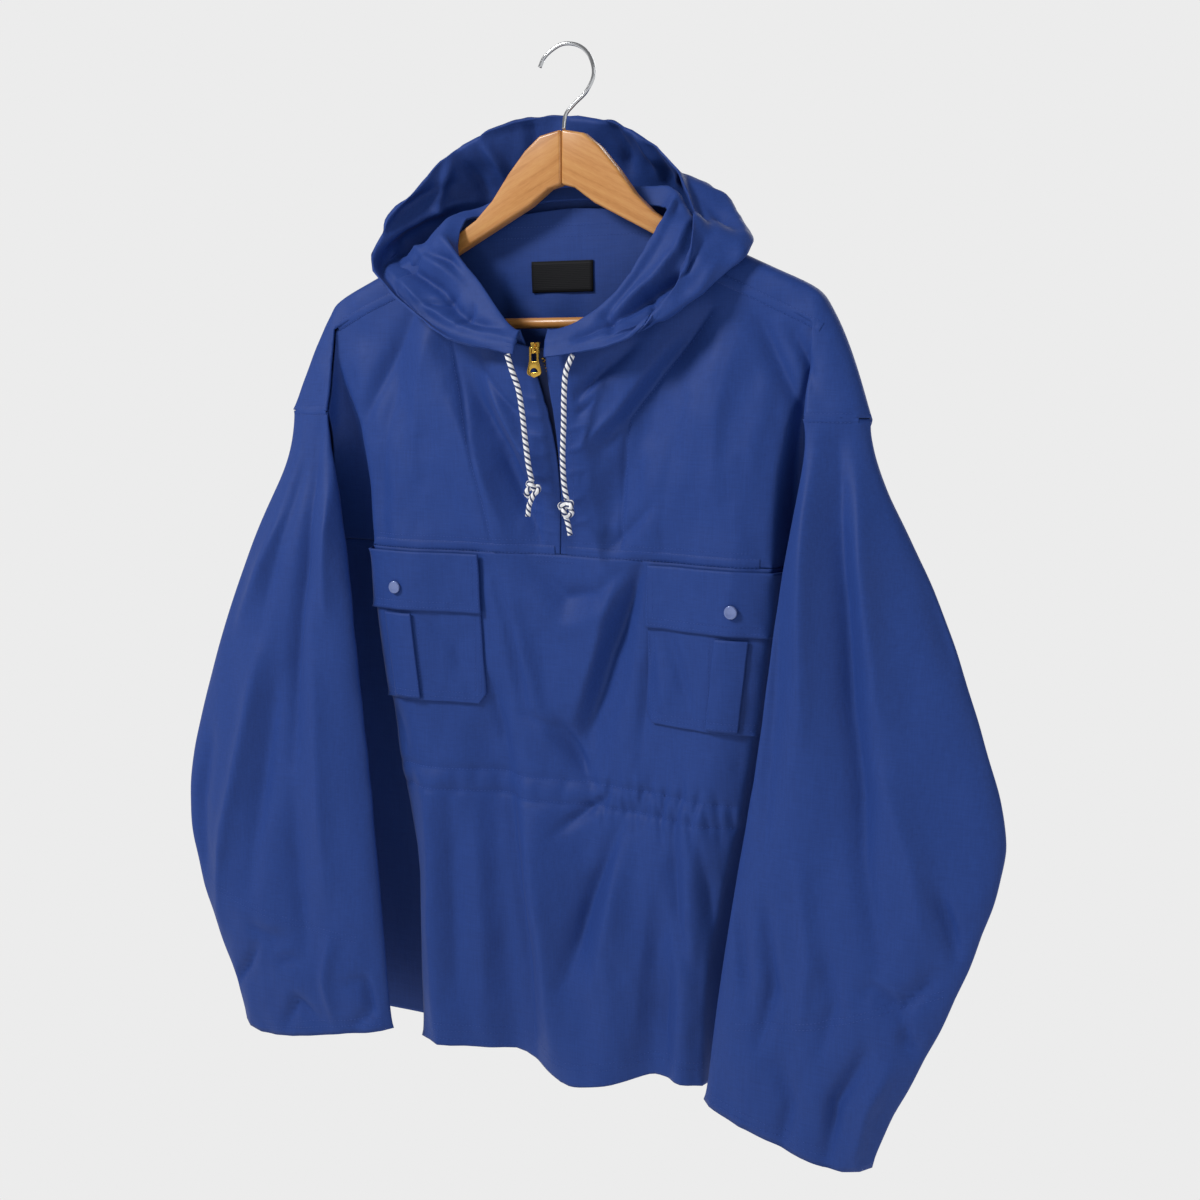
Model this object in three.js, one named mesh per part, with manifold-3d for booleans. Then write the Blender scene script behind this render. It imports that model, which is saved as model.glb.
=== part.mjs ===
// Anorak pullover on its wooden hanger.
// Millimetres, +Z up, front towards -Y, +X to the viewer's right.
// The origin is the inside of the hook's crown, where a rail or a peg carries the hanger.
import * as THREE from "three";
import { mergeVertices } from "three/addons/utils/BufferGeometryUtils.js";
import Module from "manifold-3d";

const wasm = await Module();
wasm.setup();

// Driving sizes of the cloth
const WALL = 1.6; // thickness of a cloth wall
const SEAM = 0.4; // gap between two pieces at a seam
const LAYER = WALL + SEAM; // step from one layer of cloth to the next
const SIDE = 1.15; // front and back lie this far from the middle at the side seam
const YOKE_Z = -415; // chest seam between the yoke and the lower front
const WAIST_Z = -621; // line of the drawn-in waist
const HEM_Z = -868;

// Stations across a half panel, as a share of its flat width
const AT_NECK = 0.279; // neck point on the shoulder
const AT_TIP = 0.62; // over the hanger's tip, and the edge of the front's forward roll
const AT_STEP = 0.73; // foot of the fold behind that roll
const NECK_X = 100;
const TIP_X = 222;
const SHOULDER_DROP = 28; // the shoulder seam runs this far in front of the ridge

const CLEAR = 3.9; // the middle of the cloth lies this far above the hanger's arm
const ROUND = { deep: 10, drop: 9 }; // how the back falls over the arm's rear edge

// The hanger
const WOOD = 12; // thickness of its arms
const BAR_DIAMETER = 9;
const BAR_Z = -222;
const WIRE = 3.2;

const COLOURS = {
  cloth: { color: 0x27427f, roughness: 0.72, metalness: 0 },
  hoodCloth: { color: 0x2a4686, roughness: 0.72, metalness: 0 },
  wood: { color: 0xc58a4a, roughness: 0.42, metalness: 0 },
  steel: { color: 0xb9bcc0, roughness: 0.22, metalness: 1 },
  brass: { color: 0xc9a349, roughness: 0.25, metalness: 1 },
  snap: { color: 0x6f7fae, roughness: 0.35, metalness: 0.6 },
  cord: { color: 0xe8e8ea, roughness: 0.8, metalness: 0 },
  label: { color: 0x15161a, roughness: 0.85, metalness: 0 },
};

const mix = (a, b, t) => a + (b - a) * t;
const clamp = (t) => Math.min(1, Math.max(0, t));
const ease = (t) => clamp(t) ** 2 * (3 - 2 * clamp(t));
const settle = (t) => 1 - (1 - clamp(t)) ** 2;
const range = (count) => Array.from({ length: count }, (_, i) => i);
const steps = (count, from = 0, to = 1) =>
  range(count + 1).map((i) => mix(from, to, i / count));

// A value from a table whose rows go down the garment, eased between rows.
function valueAt(rows, z, column) {
  let i = 0;
  while (i < rows.length - 2 && z < rows[i + 1].z) i += 1;
  const t = (rows[i].z - z) / (rows[i].z - rows[i + 1].z);
  return mix(rows[i][column], rows[i + 1][column], clamp(t));
}

// A height along a row of [station, value] pairs, eased between neighbours.
function along(pairs, a) {
  let i = 0;
  while (i < pairs.length - 2 && a > pairs[i + 1][0]) i += 1;
  const [a0, v0] = pairs[i];
  const [a1, v1] = pairs[i + 1];
  return mix(v0, v1, ease((a - a0) / (a1 - a0)));
}

const apart = (p, q) => Math.hypot(p[0] - q[0], p[1] - q[1], p[2] - q[2]);

// A point on the smooth line through a list of [x, y, z], t from 0 to 1. Short steps bend
// tightly and long ones gently, so the line never loops.
function through(points, t) {
  const last = points.length - 1;
  const place = clamp(t) * last;
  const i = Math.min(last - 1, Math.floor(place));
  const f = place - i;
  const heading = (k) => {
    const [before, after] = [points[Math.max(0, k - 1)], points[Math.min(last, k + 1)]];
    const reach = apart(before, points[k]) + apart(points[k], after);
    return after.map((c, axis) => (c - before[axis]) / reach);
  };
  const [p, q, length] = [points[i], points[i + 1], apart(points[i], points[i + 1])];
  const [out, into] = [heading(i), heading(i + 1)];
  const near = ease(f);
  return p.map((c, axis) => {
    const swing = length * f * (1 - f) * (out[axis] * (1 - f) - into[axis] * f);
    return mix(c, q[axis], near) + swing;
  });
}

// Folds are soft ridges (rise above 0, towards the viewer) and troughs along a line on the front.
function foldRise(folds, x, z) {
  let rise = 0;
  for (const fold of folds) {
    const [dx, dz] = [fold.x2 - fold.x1, fold.z2 - fold.z1];
    const length = Math.hypot(dx, dz);
    const run = ((x - fold.x1) * dx + (z - fold.z1) * dz) / length;
    const side = ((x - fold.x1) * dz - (z - fold.z1) * dx) / length;
    const past = Math.max(0, -run, run - length);
    rise += fold.rise * Math.exp(-((side / fold.width) ** 2) - (past / fold.fade) ** 2);
  }
  return rise;
}

// Sections of the body, from the shoulders down. shift: middle of the garment;
// roll: half width of the front's forward part; edge: half width at the side seam;
// mid, front, flange, back: how far each stands off the hanger's plane.
const BODY = [
  { z: -200, shift: 0, roll: 222, edge: 232, mid: -44, front: -14, flange: -4, back: 16 },
  { z: -240, shift: 2, roll: 206, edge: 234, mid: -43, front: -20, flange: -2, back: 22 },
  { z: -300, shift: 5, roll: 192, edge: 240, mid: -36, front: -28, flange: -1, back: 29 },
  { z: -415, shift: 11, roll: 186, edge: 252, mid: -22, front: -37, flange: 0, back: 34 },
  { z: -474, shift: 11, roll: 183, edge: 257, mid: -19, front: -37, flange: 0, back: 36 },
  { z: -546, shift: 11, roll: 174, edge: 260, mid: -18, front: -35, flange: 1, back: 36 },
  { z: -621, shift: 10, roll: 163, edge: 258, mid: -20, front: -34, flange: 2, back: 33 },
  { z: -695, shift: 9, roll: 148, edge: 259, mid: -23, front: -37, flange: 2, back: 37 },
  { z: -750, shift: 8, roll: 142, edge: 261, mid: -24, front: -40, flange: 2, back: 39 },
  { z: -870, shift: 8, roll: 138, edge: 266, mid: -25, front: -43, flange: 3, back: 42 },
];
// Where the two chest panels meet over the zip; open is half the gap between them.
const SLIT = [
  { z: -230, x: -4, open: 9 },
  { z: -240, x: -3, open: 8 },
  { z: -253, x: 3, open: 3 },
  { z: -269, x: 8, open: 0.5 },
  { z: -290, x: 12, open: SEAM },
  { z: -326, x: 12, open: SEAM },
  { z: -368, x: 11, open: SEAM },
  { z: YOKE_Z, x: 7, open: SEAM },
];
// The largest folds of the front, as they hang.
const FRONT_FOLDS = [
  { x1: -84, z1: -244, x2: -30, z2: -366, width: 15, rise: -9, fade: 26 },
  { x1: -122, z1: -240, x2: -66, z2: -392, width: 17, rise: 6, fade: 30 },
  { x1: -46, z1: -262, x2: -14, z2: -350, width: 15, rise: 5, fade: 24 },
  { x1: 122, z1: -236, x2: 58, z2: -362, width: 15, rise: -9, fade: 28 },
  { x1: 92, z1: -250, x2: 40, z2: -350, width: 16, rise: 5, fade: 26 },
  { x1: 154, z1: -240, x2: 96, z2: -388, width: 17, rise: 6, fade: 34 },
  { x1: -190, z1: -262, x2: -166, z2: -330, width: 18, rise: 5, fade: 30 },
  { x1: 196, z1: -262, x2: 182, z2: -330, width: 18, rise: 5, fade: 30 },
  { x1: -50, z1: -438, x2: -26, z2: -566, width: 17, rise: 6, fade: 34 },
  { x1: 78, z1: -448, x2: 32, z2: -580, width: 16, rise: -9, fade: 30 },
  { x1: 52, z1: -440, x2: 10, z2: -540, width: 18, rise: 6, fade: 30 },
  { x1: -60, z1: -560, x2: -38, z2: -866, width: 16, rise: -9, fade: 40 },
  { x1: -8, z1: -690, x2: 22, z2: -870, width: 32, rise: 20, fade: 70 },
  { x1: 62, z1: -740, x2: 62, z2: -870, width: 22, rise: 12, fade: 60 },
  { x1: 104, z1: -740, x2: 98, z2: -868, width: 15, rise: -9, fade: 36 },
  { x1: 136, z1: -640, x2: 142, z2: -868, width: 18, rise: 7, fade: 40 },
  { x1: -112, z1: -640, x2: -106, z2: -860, width: 18, rise: 5, fade: 40 },
];
// The back hangs in a few long soft folds.
const BACK_FOLDS = [
  { x1: -150, z1: -260, x2: -118, z2: -560, width: 20, rise: 7, fade: 60 },
  { x1: 156, z1: -256, x2: 120, z2: -540, width: 22, rise: 8, fade: 60 },
  { x1: -60, z1: -640, x2: -78, z2: -868, width: 20, rise: 9, fade: 50 },
  { x1: 18, z1: -650, x2: 12, z2: -868, width: 18, rise: 8, fade: 50 },
  { x1: 96, z1: -640, x2: 112, z2: -868, width: 20, rise: 10, fade: 50 },
  { x1: -160, z1: -660, x2: -178, z2: -868, width: 18, rise: 8, fade: 50 },
  { x1: -18, z1: -640, x2: -26, z2: -800, width: 12, rise: -5, fade: 40 },
];
// The waist is drawn in: tight puckers right of the middle, wide ones elsewhere.
const PUCKERS = { pitch: 16, from: 34, to: 186, rise: 2.2, reach: 14 };

const bodyAt = (z, column) => valueAt(BODY, z, column);
const slitEdge = (side, z) => valueAt(SLIT, z, "x") + side * valueAt(SLIT, z, "open");

function pucker(x, z) {
  const within = ease((x - PUCKERS.from) / 20) * ease((PUCKERS.to - x) / 20);
  const near = Math.exp(-(((z - WAIST_Z) / PUCKERS.reach) ** 2));
  return PUCKERS.rise * within * near * Math.cos((2 * Math.PI * x) / PUCKERS.pitch);
}

// The neckline from the zip round to the nape, one side.
const NECK = {
  zip: [6, -44, -243],
  throat: [30, -44, -238],
  front: [58, -39, -222],
  side: [86, -28, -196],
  collar: [NECK_X + 1, -15, -171],
  ridge: [NECK_X, 0, -143],
  corner: [92, 12, -143],
  back: [62, 15, -132],
  nape: [0, 16, -127],
};
const FRONT_NECK = [NECK.zip, NECK.throat, NECK.front, NECK.side, NECK.collar];
const BACK_NECK = [NECK.nape, NECK.back, NECK.corner, NECK.ridge];

// The top of the hanger's arm, which the shoulder follows.
const ARM_TOP = [
  [0, -66],
  [20, -70],
  [34, -81],
  [50, -99],
  [66, -120],
  [82, -135],
  [110, -152],
  [160, -175],
  [TIP_X, -203],
];
function armTop(x) {
  let i = 0;
  while (i < ARM_TOP.length - 2 && x > ARM_TOP[i + 1][0]) i += 1;
  const [[x0, z0], [x1, z1]] = [ARM_TOP[i], ARM_TOP[i + 1]];
  return mix(z0, z1, (x - x0) / (x1 - x0));
}
// Past the hanger's tip the shoulder falls along the arm, to the sleeve's seam.
const CAP_OUTER = [
  [224, 0, -201],
  [240, -5, -224],
  [256, -11, -260],
  [269, -17, -297],
];
const CAP_INNER = [
  [TIP_X, -15, -231],
  [222, -19, -252],
  [221, -24, -275],
  [221, -30, -299],
];

// Mirrors a point made for the viewer's right; the neckline's start stays at the slit.
const mirror = (side, [x, y, z]) => [side * x, y, z];

// The shoulder's ridge, from the nape or neck point to the sleeve's seam.
function ridgePoint(side, a) {
  if (a < AT_NECK) return mirror(side, through(BACK_NECK, a / AT_NECK));
  if (a > AT_TIP) return mirror(side, through(CAP_OUTER, (a - AT_TIP) / (1 - AT_TIP)));
  const x = mix(NECK_X, CAP_OUTER[0][0], (a - AT_NECK) / (AT_TIP - AT_NECK));
  return [side * x, 0, Math.max(armTop(Math.min(x, TIP_X)) + CLEAR, CAP_OUTER[0][2])];
}

// The shoulder seam in front of the ridge, and the neckline inside it.
function chestTop(side, a) {
  if (a < AT_NECK) {
    const [x, y, z] = mirror(side, through(FRONT_NECK, a / AT_NECK));
    const atSlit = 1 - ease((a / AT_NECK) * 4);
    return [mix(x, slitEdge(side, z), atSlit), y, z];
  }
  if (a > AT_TIP) return mirror(side, through(CAP_INNER, (a - AT_TIP) / (1 - AT_TIP)));
  const t = (a - AT_NECK) / (AT_TIP - AT_NECK);
  const [x, , z] = ridgePoint(1, a);
  const nearNeck = (1 - t) ** 6;
  const y = mix(-15, NECK.collar[1], nearNeck);
  const height = mix(z - SHOULDER_DROP, NECK.collar[2], nearNeck);
  return [side * mix(x, CAP_INNER[0][0], t ** 8), y, height];
}

// A point of the front's section at height z: side -1 or 1, a from the middle to the side seam.
function frontSection(side, a, z) {
  const [shift, roll, edge] = ["shift", "roll", "edge"].map((column) => bodyAt(z, column));
  const start = z > YOKE_Z ? slitEdge(side, z) : shift;
  const rollX = shift + side * roll;
  const stepX = shift + side * (roll + 9);
  let x = mix(start, rollX, a / AT_TIP);
  if (a > AT_TIP) x = mix(rollX, stepX, (a - AT_TIP) / (AT_STEP - AT_TIP));
  if (a > AT_STEP) x = mix(stepX, side * edge + shift, (a - AT_STEP) / (1 - AT_STEP));
  const front = bodyAt(z, "front");
  const y = along(
    [
      [0, bodyAt(z, "mid")],
      [0.26, mix(bodyAt(z, "mid"), front, 0.35)],
      [0.52, front],
      [AT_TIP, front + 5],
      [AT_STEP, bodyAt(z, "flange")],
      [1, -SIDE],
    ],
    a,
  );
  return [x, y, z];
}

// Folds fade out where the cloth turns back behind the sleeve.
const foldShare = (a) => 1 - ease((a - 0.5) / 0.14);

// The pockets' extra layers keep the panel flatter under them.
const calm = (a, z) =>
  1 - 0.85 * ease((a - 0.19) / 0.07) * ease((z + 572) / 20) * ease((-402 - z) / 14);

function withFolds(point, a, share = 1) {
  const [x, y, z] = point;
  const rise = foldRise(FRONT_FOLDS, x, z) + pucker(x, z);
  return [x, y - share * foldShare(a) * calm(a, z) * rise, z];
}

// The chest panel: v from the shoulder seam or neckline down to the yoke seam.
function chest(side, a, v) {
  const top = chestTop(side, a);
  const z = mix(top[2], YOKE_Z + SEAM / 2, v);
  const [x, y] = frontSection(side, a, z);
  const drawn = settle(v / 0.75);
  return withFolds([mix(top[0], x, drawn), mix(top[1], y, drawn), z], a, ease(v / 0.3));
}

// The hem of the front dips where the long fold hangs.
const hemAt = (x) => HEM_Z - 11 * Math.exp(-(((x - 24) / 34) ** 2)) + 12 * ease((x - 60) / 60);

// The lower front from seam to seam: s from -1 to 1, v from the yoke seam to the hem.
function lowerFront(s, v) {
  const side = s < 0 ? -1 : 1;
  const top = YOKE_Z - SEAM / 2;
  const [x] = frontSection(side, Math.abs(s), mix(top, HEM_Z, v));
  const z = mix(top, hemAt(x), v);
  return withFolds(frontSection(side, Math.abs(s), z), Math.abs(s));
}

// The same place by height, for what lies on the panel.
function lowerFrontAt(s, z) {
  return withFolds(frontSection(s < 0 ? -1 : 1, Math.abs(s), z), Math.abs(s));
}

// The back: v from the ridge or nape to the hem.
function back(s, v) {
  const side = s < 0 ? -1 : 1;
  const a = Math.abs(s);
  const top = ridgePoint(side, a);
  const z = mix(top[2], HEM_Z, v);
  const edge = bodyAt(z, "edge");
  const level = bodyAt(z, "back");
  const x = bodyAt(z, "shift") + side * edge * a;
  const y = SIDE + (level - SIDE) * (1 - a ** 4);
  const drawn = settle(v / 0.17);
  const fallen = clamp((top[2] - z) / ROUND.drop);
  const over = ROUND.deep * Math.sqrt(1 - (1 - fallen) ** 2) * ease((a - 0.2) / 0.08) * (1 - drawn);
  const rise = foldRise(BACK_FOLDS, x, z) * (1 - ease((a - 0.7) / 0.25)) * ease(v / 0.3);
  return [mix(top[0], x, drawn), mix(top[1], y, drawn) + over + rise, z];
}

// The back's wrap over the shoulder: w from the shoulder seam up to the ridge.
function wrap(side, a, w) {
  const low = chestTop(side, a);
  const high = ridgePoint(side, a);
  const over = Math.sin((w * Math.PI) / 2);
  const lowShare = 1 - w;
  const beyondTip = ease((a - AT_TIP + 0.07) / 0.07);
  const y = mix(low[1], high[1], 1 - Math.sqrt(1 - w * w)) - lowShare * beyondTip * (LAYER + 0.6);
  const lift = SEAM + 1.4;
  return [mix(low[0], high[0], w), y, mix(low[2] + lowShare * lift, high[2], over)];
}

// The armhole: round the cap from the shoulder seam over its outer edge to the underarm and back.
const UNDERARM = (CAP_OUTER[3][2] - YOKE_Z) / (CAP_OUTER[3][2] - HEM_Z);
function armhole(side, f) {
  if (f < 0.5 || f === 1) return wrap(side, 1, (f % 1) * 2);
  const onBack = f < 0.75;
  const [x, y, z] = onBack
    ? back(side, mix(0, UNDERARM, (f - 0.5) * 4))
    : chest(side, 1, 1 - (f - 0.75) * 4);
  const underarm = Math.exp(-(((f - 0.75) / 0.06) ** 2));
  const outward = 1.4 * Math.min(1, (f - 0.5) * 8, (1 - f) * 8) + 2 * underarm;
  const forward = onBack ? 0 : 2 * LAYER * Math.min(1, (f - 0.75) * 16);
  return [x + side * outward, y - forward, z];
}

// Sections of the sleeve. inner, outer: its two edges; the y columns: how far each is from
// the hanger's plane; deep: front to back. The viewer's left elbow is rounder than the right.
const SLEEVE = [
  { z: -300, inner: 219, innerY: -30, outer: 270, outerY: -18, outerLeft: 270, deep: 26 },
  { z: -345, inner: 210, innerY: -40, outer: 286, outerY: -22, outerLeft: 287, deep: 34 },
  { z: -391, inner: 204, innerY: -49, outer: 306, outerY: -34, outerLeft: 308, deep: 36 },
  { z: -445, inner: 197, innerY: -54, outer: 327, outerY: -38, outerLeft: 329, deep: 36 },
  { z: -502, inner: 191, innerY: -56, outer: 350, outerY: -46, outerLeft: 350, deep: 36 },
  { z: -572, inner: 183, innerY: -56, outer: 375, outerY: -52, outerLeft: 371, deep: 36 },
  { z: -604, inner: 178, innerY: -57, outer: 388, outerY: -56, outerLeft: 378, deep: 36 },
  { z: -650, inner: 172, innerY: -59, outer: 377, outerY: -68, outerLeft: 381, deep: 34 },
  { z: -700, inner: 166, innerY: -61, outer: 364, outerY: -74, outerLeft: 374, deep: 33 },
  { z: -757, inner: 160, innerY: -63, outer: 343, outerY: -78, outerLeft: 352, deep: 31 },
  { z: -800, inner: 156, innerY: -65, outer: 323, outerY: -79, outerLeft: 333, deep: 29 },
  { z: -845, inner: 152, innerY: -66, outer: 303, outerY: -78, outerLeft: 314, deep: 27 },
  { z: -900, inner: 150, innerY: -66, outer: 285, outerY: -76, outerLeft: 304, deep: 24 },
];
// Long folds of a sleeve: at is the place across it, from the inner edge at 0 to the outer at 1.
const SLEEVE_FOLDS = [
  { side: -1, at1: 0.5, z1: -400, at2: 0.42, z2: -760, width: 0.09, rise: -5 },
  { side: -1, at1: 0.66, z1: -360, at2: 0.62, z2: -640, width: 0.1, rise: 4 },
  { side: -1, at1: 0.2, z1: -420, at2: 0.14, z2: -620, width: 0.08, rise: 3 },
  { side: 1, at1: 0.34, z1: -350, at2: 0.42, z2: -740, width: 0.08, rise: -6 },
  { side: 1, at1: 0.16, z1: -420, at2: 0.2, z2: -800, width: 0.08, rise: 4 },
  { side: 1, at1: 0.72, z1: -440, at2: 0.8, z2: -640, width: 0.1, rise: -4 },
];

function sleeveSection(side, f, z) {
  const column = (name) => valueAt(SLEEVE, z, name);
  const shift = bodyAt(z, "shift");
  const outerX = side < 0 ? column("outerLeft") : column("outer");
  const inner = [column("inner"), column("innerY")];
  const outer = [outerX, column("outerY")];
  const angle = f * 2 * Math.PI;
  const across = (1 - Math.cos(angle)) / 2;
  let proud = (column("deep") / 2) * Math.sin(angle);
  for (const fold of SLEEVE_FOLDS) {
    if (fold.side !== side || f > 0.5) continue;
    const run = (z - fold.z1) / (fold.z2 - fold.z1);
    const off = (across - mix(fold.at1, fold.at2, run)) / fold.width;
    const past = Math.max(0, -run, run - 1) / 0.25;
    proud += fold.rise * Math.exp(-off * off - past * past) * Math.sin(angle);
  }
  const x = shift + side * mix(inner[0], outer[0], across);
  return [x, mix(inner[1], outer[1], across) - proud, z];
}

// The sleeve's opening falls from the inner to the outer edge.
const CUFF = { inner: -852, outer: -884, corner: 14 };

function sleeve(side, f, t) {
  const top = armhole(side, f);
  const across = (1 - Math.cos(f * 2 * Math.PI)) / 2;
  const rounded = CUFF.corner * across ** 8;
  const end = mix(CUFF.inner, CUFF.outer, across) + rounded;
  const z = mix(top[2] - SEAM - 0.5, end, t);
  const [x, y] = sleeveSection(side, f, Math.min(z, SLEEVE[0].z));
  const drawn = settle(t / 0.24);
  return [mix(top[0], x, drawn), mix(top[1], y, drawn), z];
}

// The hood hangs down: from the neck seam it rises to a ridge, falls over into the bag and
// comes up again to its rim. One row for each station round the neck, viewer's right to left.
const HOOD = [
  {
    neck: [9, -41, -241], ridge: [10, -49, -229], valley: [10, -54, -238],
    base: [10, -55, -243], turn: [10, -56, -246], rim: [11, -58, -251],
  },
  {
    neck: [31, -41, -236], ridge: [32, -46, -223], valley: [39, -52, -234],
    base: [42, -54, -239], turn: [44, -56, -242], rim: [45, -60, -247],
  },
  {
    neck: [58, -35, -219], ridge: [64, -37, -198], valley: [76, -45, -220],
    base: [80, -48, -229], turn: [83, -51, -233], rim: [85, -57, -236],
  },
  {
    neck: [85, -23, -190], ridge: [81, -27, -166], valley: [105, -32, -198],
    base: [115, -35, -208], turn: [126, -40, -212], rim: [119, -45, -197],
  },
  {
    neck: [94, -17, -159], ridge: [93, -12, -140], valley: [121, -23, -170],
    base: [140, -22, -176], turn: [161, -28, -187], rim: [129, -37, -168],
  },
  {
    neck: [94, -2, -135], ridge: [99, 3, -123], valley: [123, -4, -147],
    base: [150, -2, -160], turn: [174, -6, -163], rim: [122, -16, -140],
  },
  {
    neck: [84, 9, -131], ridge: [92, 16, -112], valley: [108, 30, -160],
    base: [134, 40, -180], turn: [150, 22, -146], rim: [114, 6, -136],
  },
  {
    neck: [62, 12, -126], ridge: [68, 20, -108], valley: [84, 42, -206],
    base: [108, 62, -226], turn: [122, 50, -112], rim: [88, 30, -98],
  },
  {
    neck: [32, 13, -122], ridge: [36, 21, -105], valley: [46, 46, -256],
    base: [60, 78, -276], turn: [68, 76, -110], rim: [40, 48, -62],
  },
  {
    neck: [0, 13, -121], ridge: [0, 21, -104], valley: [-6, 48, -276],
    base: [-8, 84, -296], turn: [-8, 86, -130], rim: [-12, 52, -46],
  },
  {
    neck: [-32, 13, -122], ridge: [-36, 21, -105], valley: [-56, 46, -256],
    base: [-72, 78, -276], turn: [-80, 78, -116], rim: [-72, 48, -48],
  },
  {
    neck: [-62, 12, -126], ridge: [-70, 18, -111], valley: [-96, 42, -206],
    base: [-120, 62, -226], turn: [-134, 56, -124], rim: [-119, 38, -65],
  },
  {
    neck: [-84, 9, -131], ridge: [-96, 12, -122], valley: [-120, 30, -160],
    base: [-150, 44, -184], turn: [-166, 34, -146], rim: [-151, 20, -97],
  },
  {
    neck: [-93, -2, -134], ridge: [-113, -6, -134], valley: [-138, 2, -150],
    base: [-160, 4, -160], turn: [-178, -2, -170], rim: [-182, -18, -160],
  },
  {
    neck: [-93, -17, -157], ridge: [-100, -27, -153], valley: [-130, -26, -180],
    base: [-140, -28, -188], turn: [-150, -31, -193], rim: [-153, -38, -190],
  },
  {
    neck: [-85, -23, -190], ridge: [-63, -31, -182], valley: [-102, -38, -211],
    base: [-109, -39, -215], turn: [-114, -42, -218], rim: [-118, -48, -213],
  },
  {
    neck: [-58, -34, -219], ridge: [-42, -39, -205], valley: [-70, -47, -227],
    base: [-74, -49, -231], turn: [-77, -52, -234], rim: [-79, -57, -236],
  },
  {
    neck: [-31, -41, -236], ridge: [-27, -45, -223], valley: [-35, -52, -233],
    base: [-37, -54, -237], turn: [-38, -56, -240], rim: [-40, -60, -244],
  },
  {
    neck: [-15, -41, -241], ridge: [-16, -49, -229], valley: [-16, -54, -237],
    base: [-17, -55, -241], turn: [-17, -56, -244], rim: [-17, -58, -249],
  },
];
const HOOD_LINES = ["neck", "ridge", "valley", "base", "turn", "rim"];

function hoodPoint(t, h) {
  const lines = HOOD_LINES.map((line) => through(HOOD.map((row) => row[line]), t));
  const place = h * (lines.length - 1);
  const i = Math.min(lines.length - 2, Math.floor(place));
  return lines[i].map((c, axis) => mix(c, lines[i + 1][axis], place - i));
}

// A grid of points from a function of two stations.
const gridOf = (us, vs, point) => vs.map((v) => us.map((u) => point(u, v)));

// Outward unit normals and faces of one or more grids, welded where they share points.
function weld(grids) {
  const points = [];
  const index = new Map();
  const faces = [];
  const vertex = (p) => {
    const key = p.map((c) => Math.round(c * 200)).join(",");
    if (!index.has(key)) {
      index.set(key, points.length);
      points.push(new THREE.Vector3(...p));
    }
    return index.get(key);
  };
  for (const grid of grids) {
    const ids = grid.map((row) => row.map(vertex));
    for (let r = 0; r + 1 < ids.length; r += 1) {
      for (let c = 0; c + 1 < ids[r].length; c += 1) {
        const [p, q, s, t] = [ids[r][c], ids[r][c + 1], ids[r + 1][c + 1], ids[r + 1][c]];
        const shorter = points[p].distanceTo(points[s]) <= points[q].distanceTo(points[t]);
        faces.push(...(shorter ? [[p, q, s], [p, s, t]] : [[p, q, t], [q, s, t]]));
      }
    }
  }
  return { points, faces: faces.filter(([a, b, c]) => a !== b && b !== c && a !== c) };
}

function pointNormals({ points, faces }) {
  const normals = points.map(() => new THREE.Vector3());
  for (const [a, b, c] of faces) {
    for (const [corner, next, last] of [[a, b, c], [b, c, a], [c, a, b]]) {
      const ahead = points[next].clone().sub(points[corner]);
      const behind = points[last].clone().sub(points[corner]);
      const angle = ahead.angleTo(behind);
      normals[corner].addScaledVector(ahead.cross(behind).normalize(), angle);
    }
  }
  return normals.map((normal) => normal.normalize());
}

// A closed wall of cloth round the welded grids, offset along the normals.
function clothWall(grids, { thickness = WALL, offset = 0 } = {}) {
  const sheet = weld(grids);
  const normals = pointNormals(sheet);
  const count = sheet.points.length;
  const at = (i, distance) => sheet.points[i].clone().addScaledVector(normals[i], distance);
  const outer = range(count).map((i) => at(i, offset + thickness / 2));
  const inner = range(count).map((i) => at(i, offset - thickness / 2));
  const triangles = [];
  const used = new Map();
  for (const [a, b, c] of sheet.faces) {
    triangles.push([a, b, c], [a + count, c + count, b + count]);
    for (const [p, q] of [[a, b], [b, c], [c, a]]) used.set(`${p},${q}`, [p, q]);
  }
  for (const [p, q] of used.values()) {
    if (used.has(`${q},${p}`)) continue;
    triangles.push([q, p, p + count], [q, p + count, q + count]);
  }
  const geometry = new THREE.BufferGeometry();
  const positions = [...outer, ...inner].flatMap((p) => p.toArray());
  geometry.setAttribute("position", new THREE.Float32BufferAttribute(positions, 3));
  geometry.setIndex(triangles.flat());
  return geometry;
}

const anorak = new THREE.Group();
const materials = Object.fromEntries(
  Object.entries(COLOURS).map(([name, settings]) => [name, new THREE.MeshStandardMaterial(settings)]),
);

function add(name, geometry, material) {
  const mesh = new THREE.Mesh(geometry, materials[material]);
  mesh.name = name;
  anorak.add(mesh);
  return mesh;
}

// Half panels turn their faces the same way on both sides.
const facing = (side, grid) => (side < 0 ? grid : grid.map((row) => [...row].reverse()));

// Chest panels
const CHEST_A = [
  ...steps(7, 0, AT_NECK),
  ...steps(9, 0.32, AT_TIP),
  ...[0.655, 0.69, AT_STEP, 0.8, 0.9, 1],
];
const CHEST_V = steps(14);
for (const [side, name] of [[-1, "chest_left"], [1, "chest_right"]]) {
  add(name, clothWall([facing(side, gridOf(CHEST_A, CHEST_V, (a, v) => chest(side, a, v)))]), "cloth");
}

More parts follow.
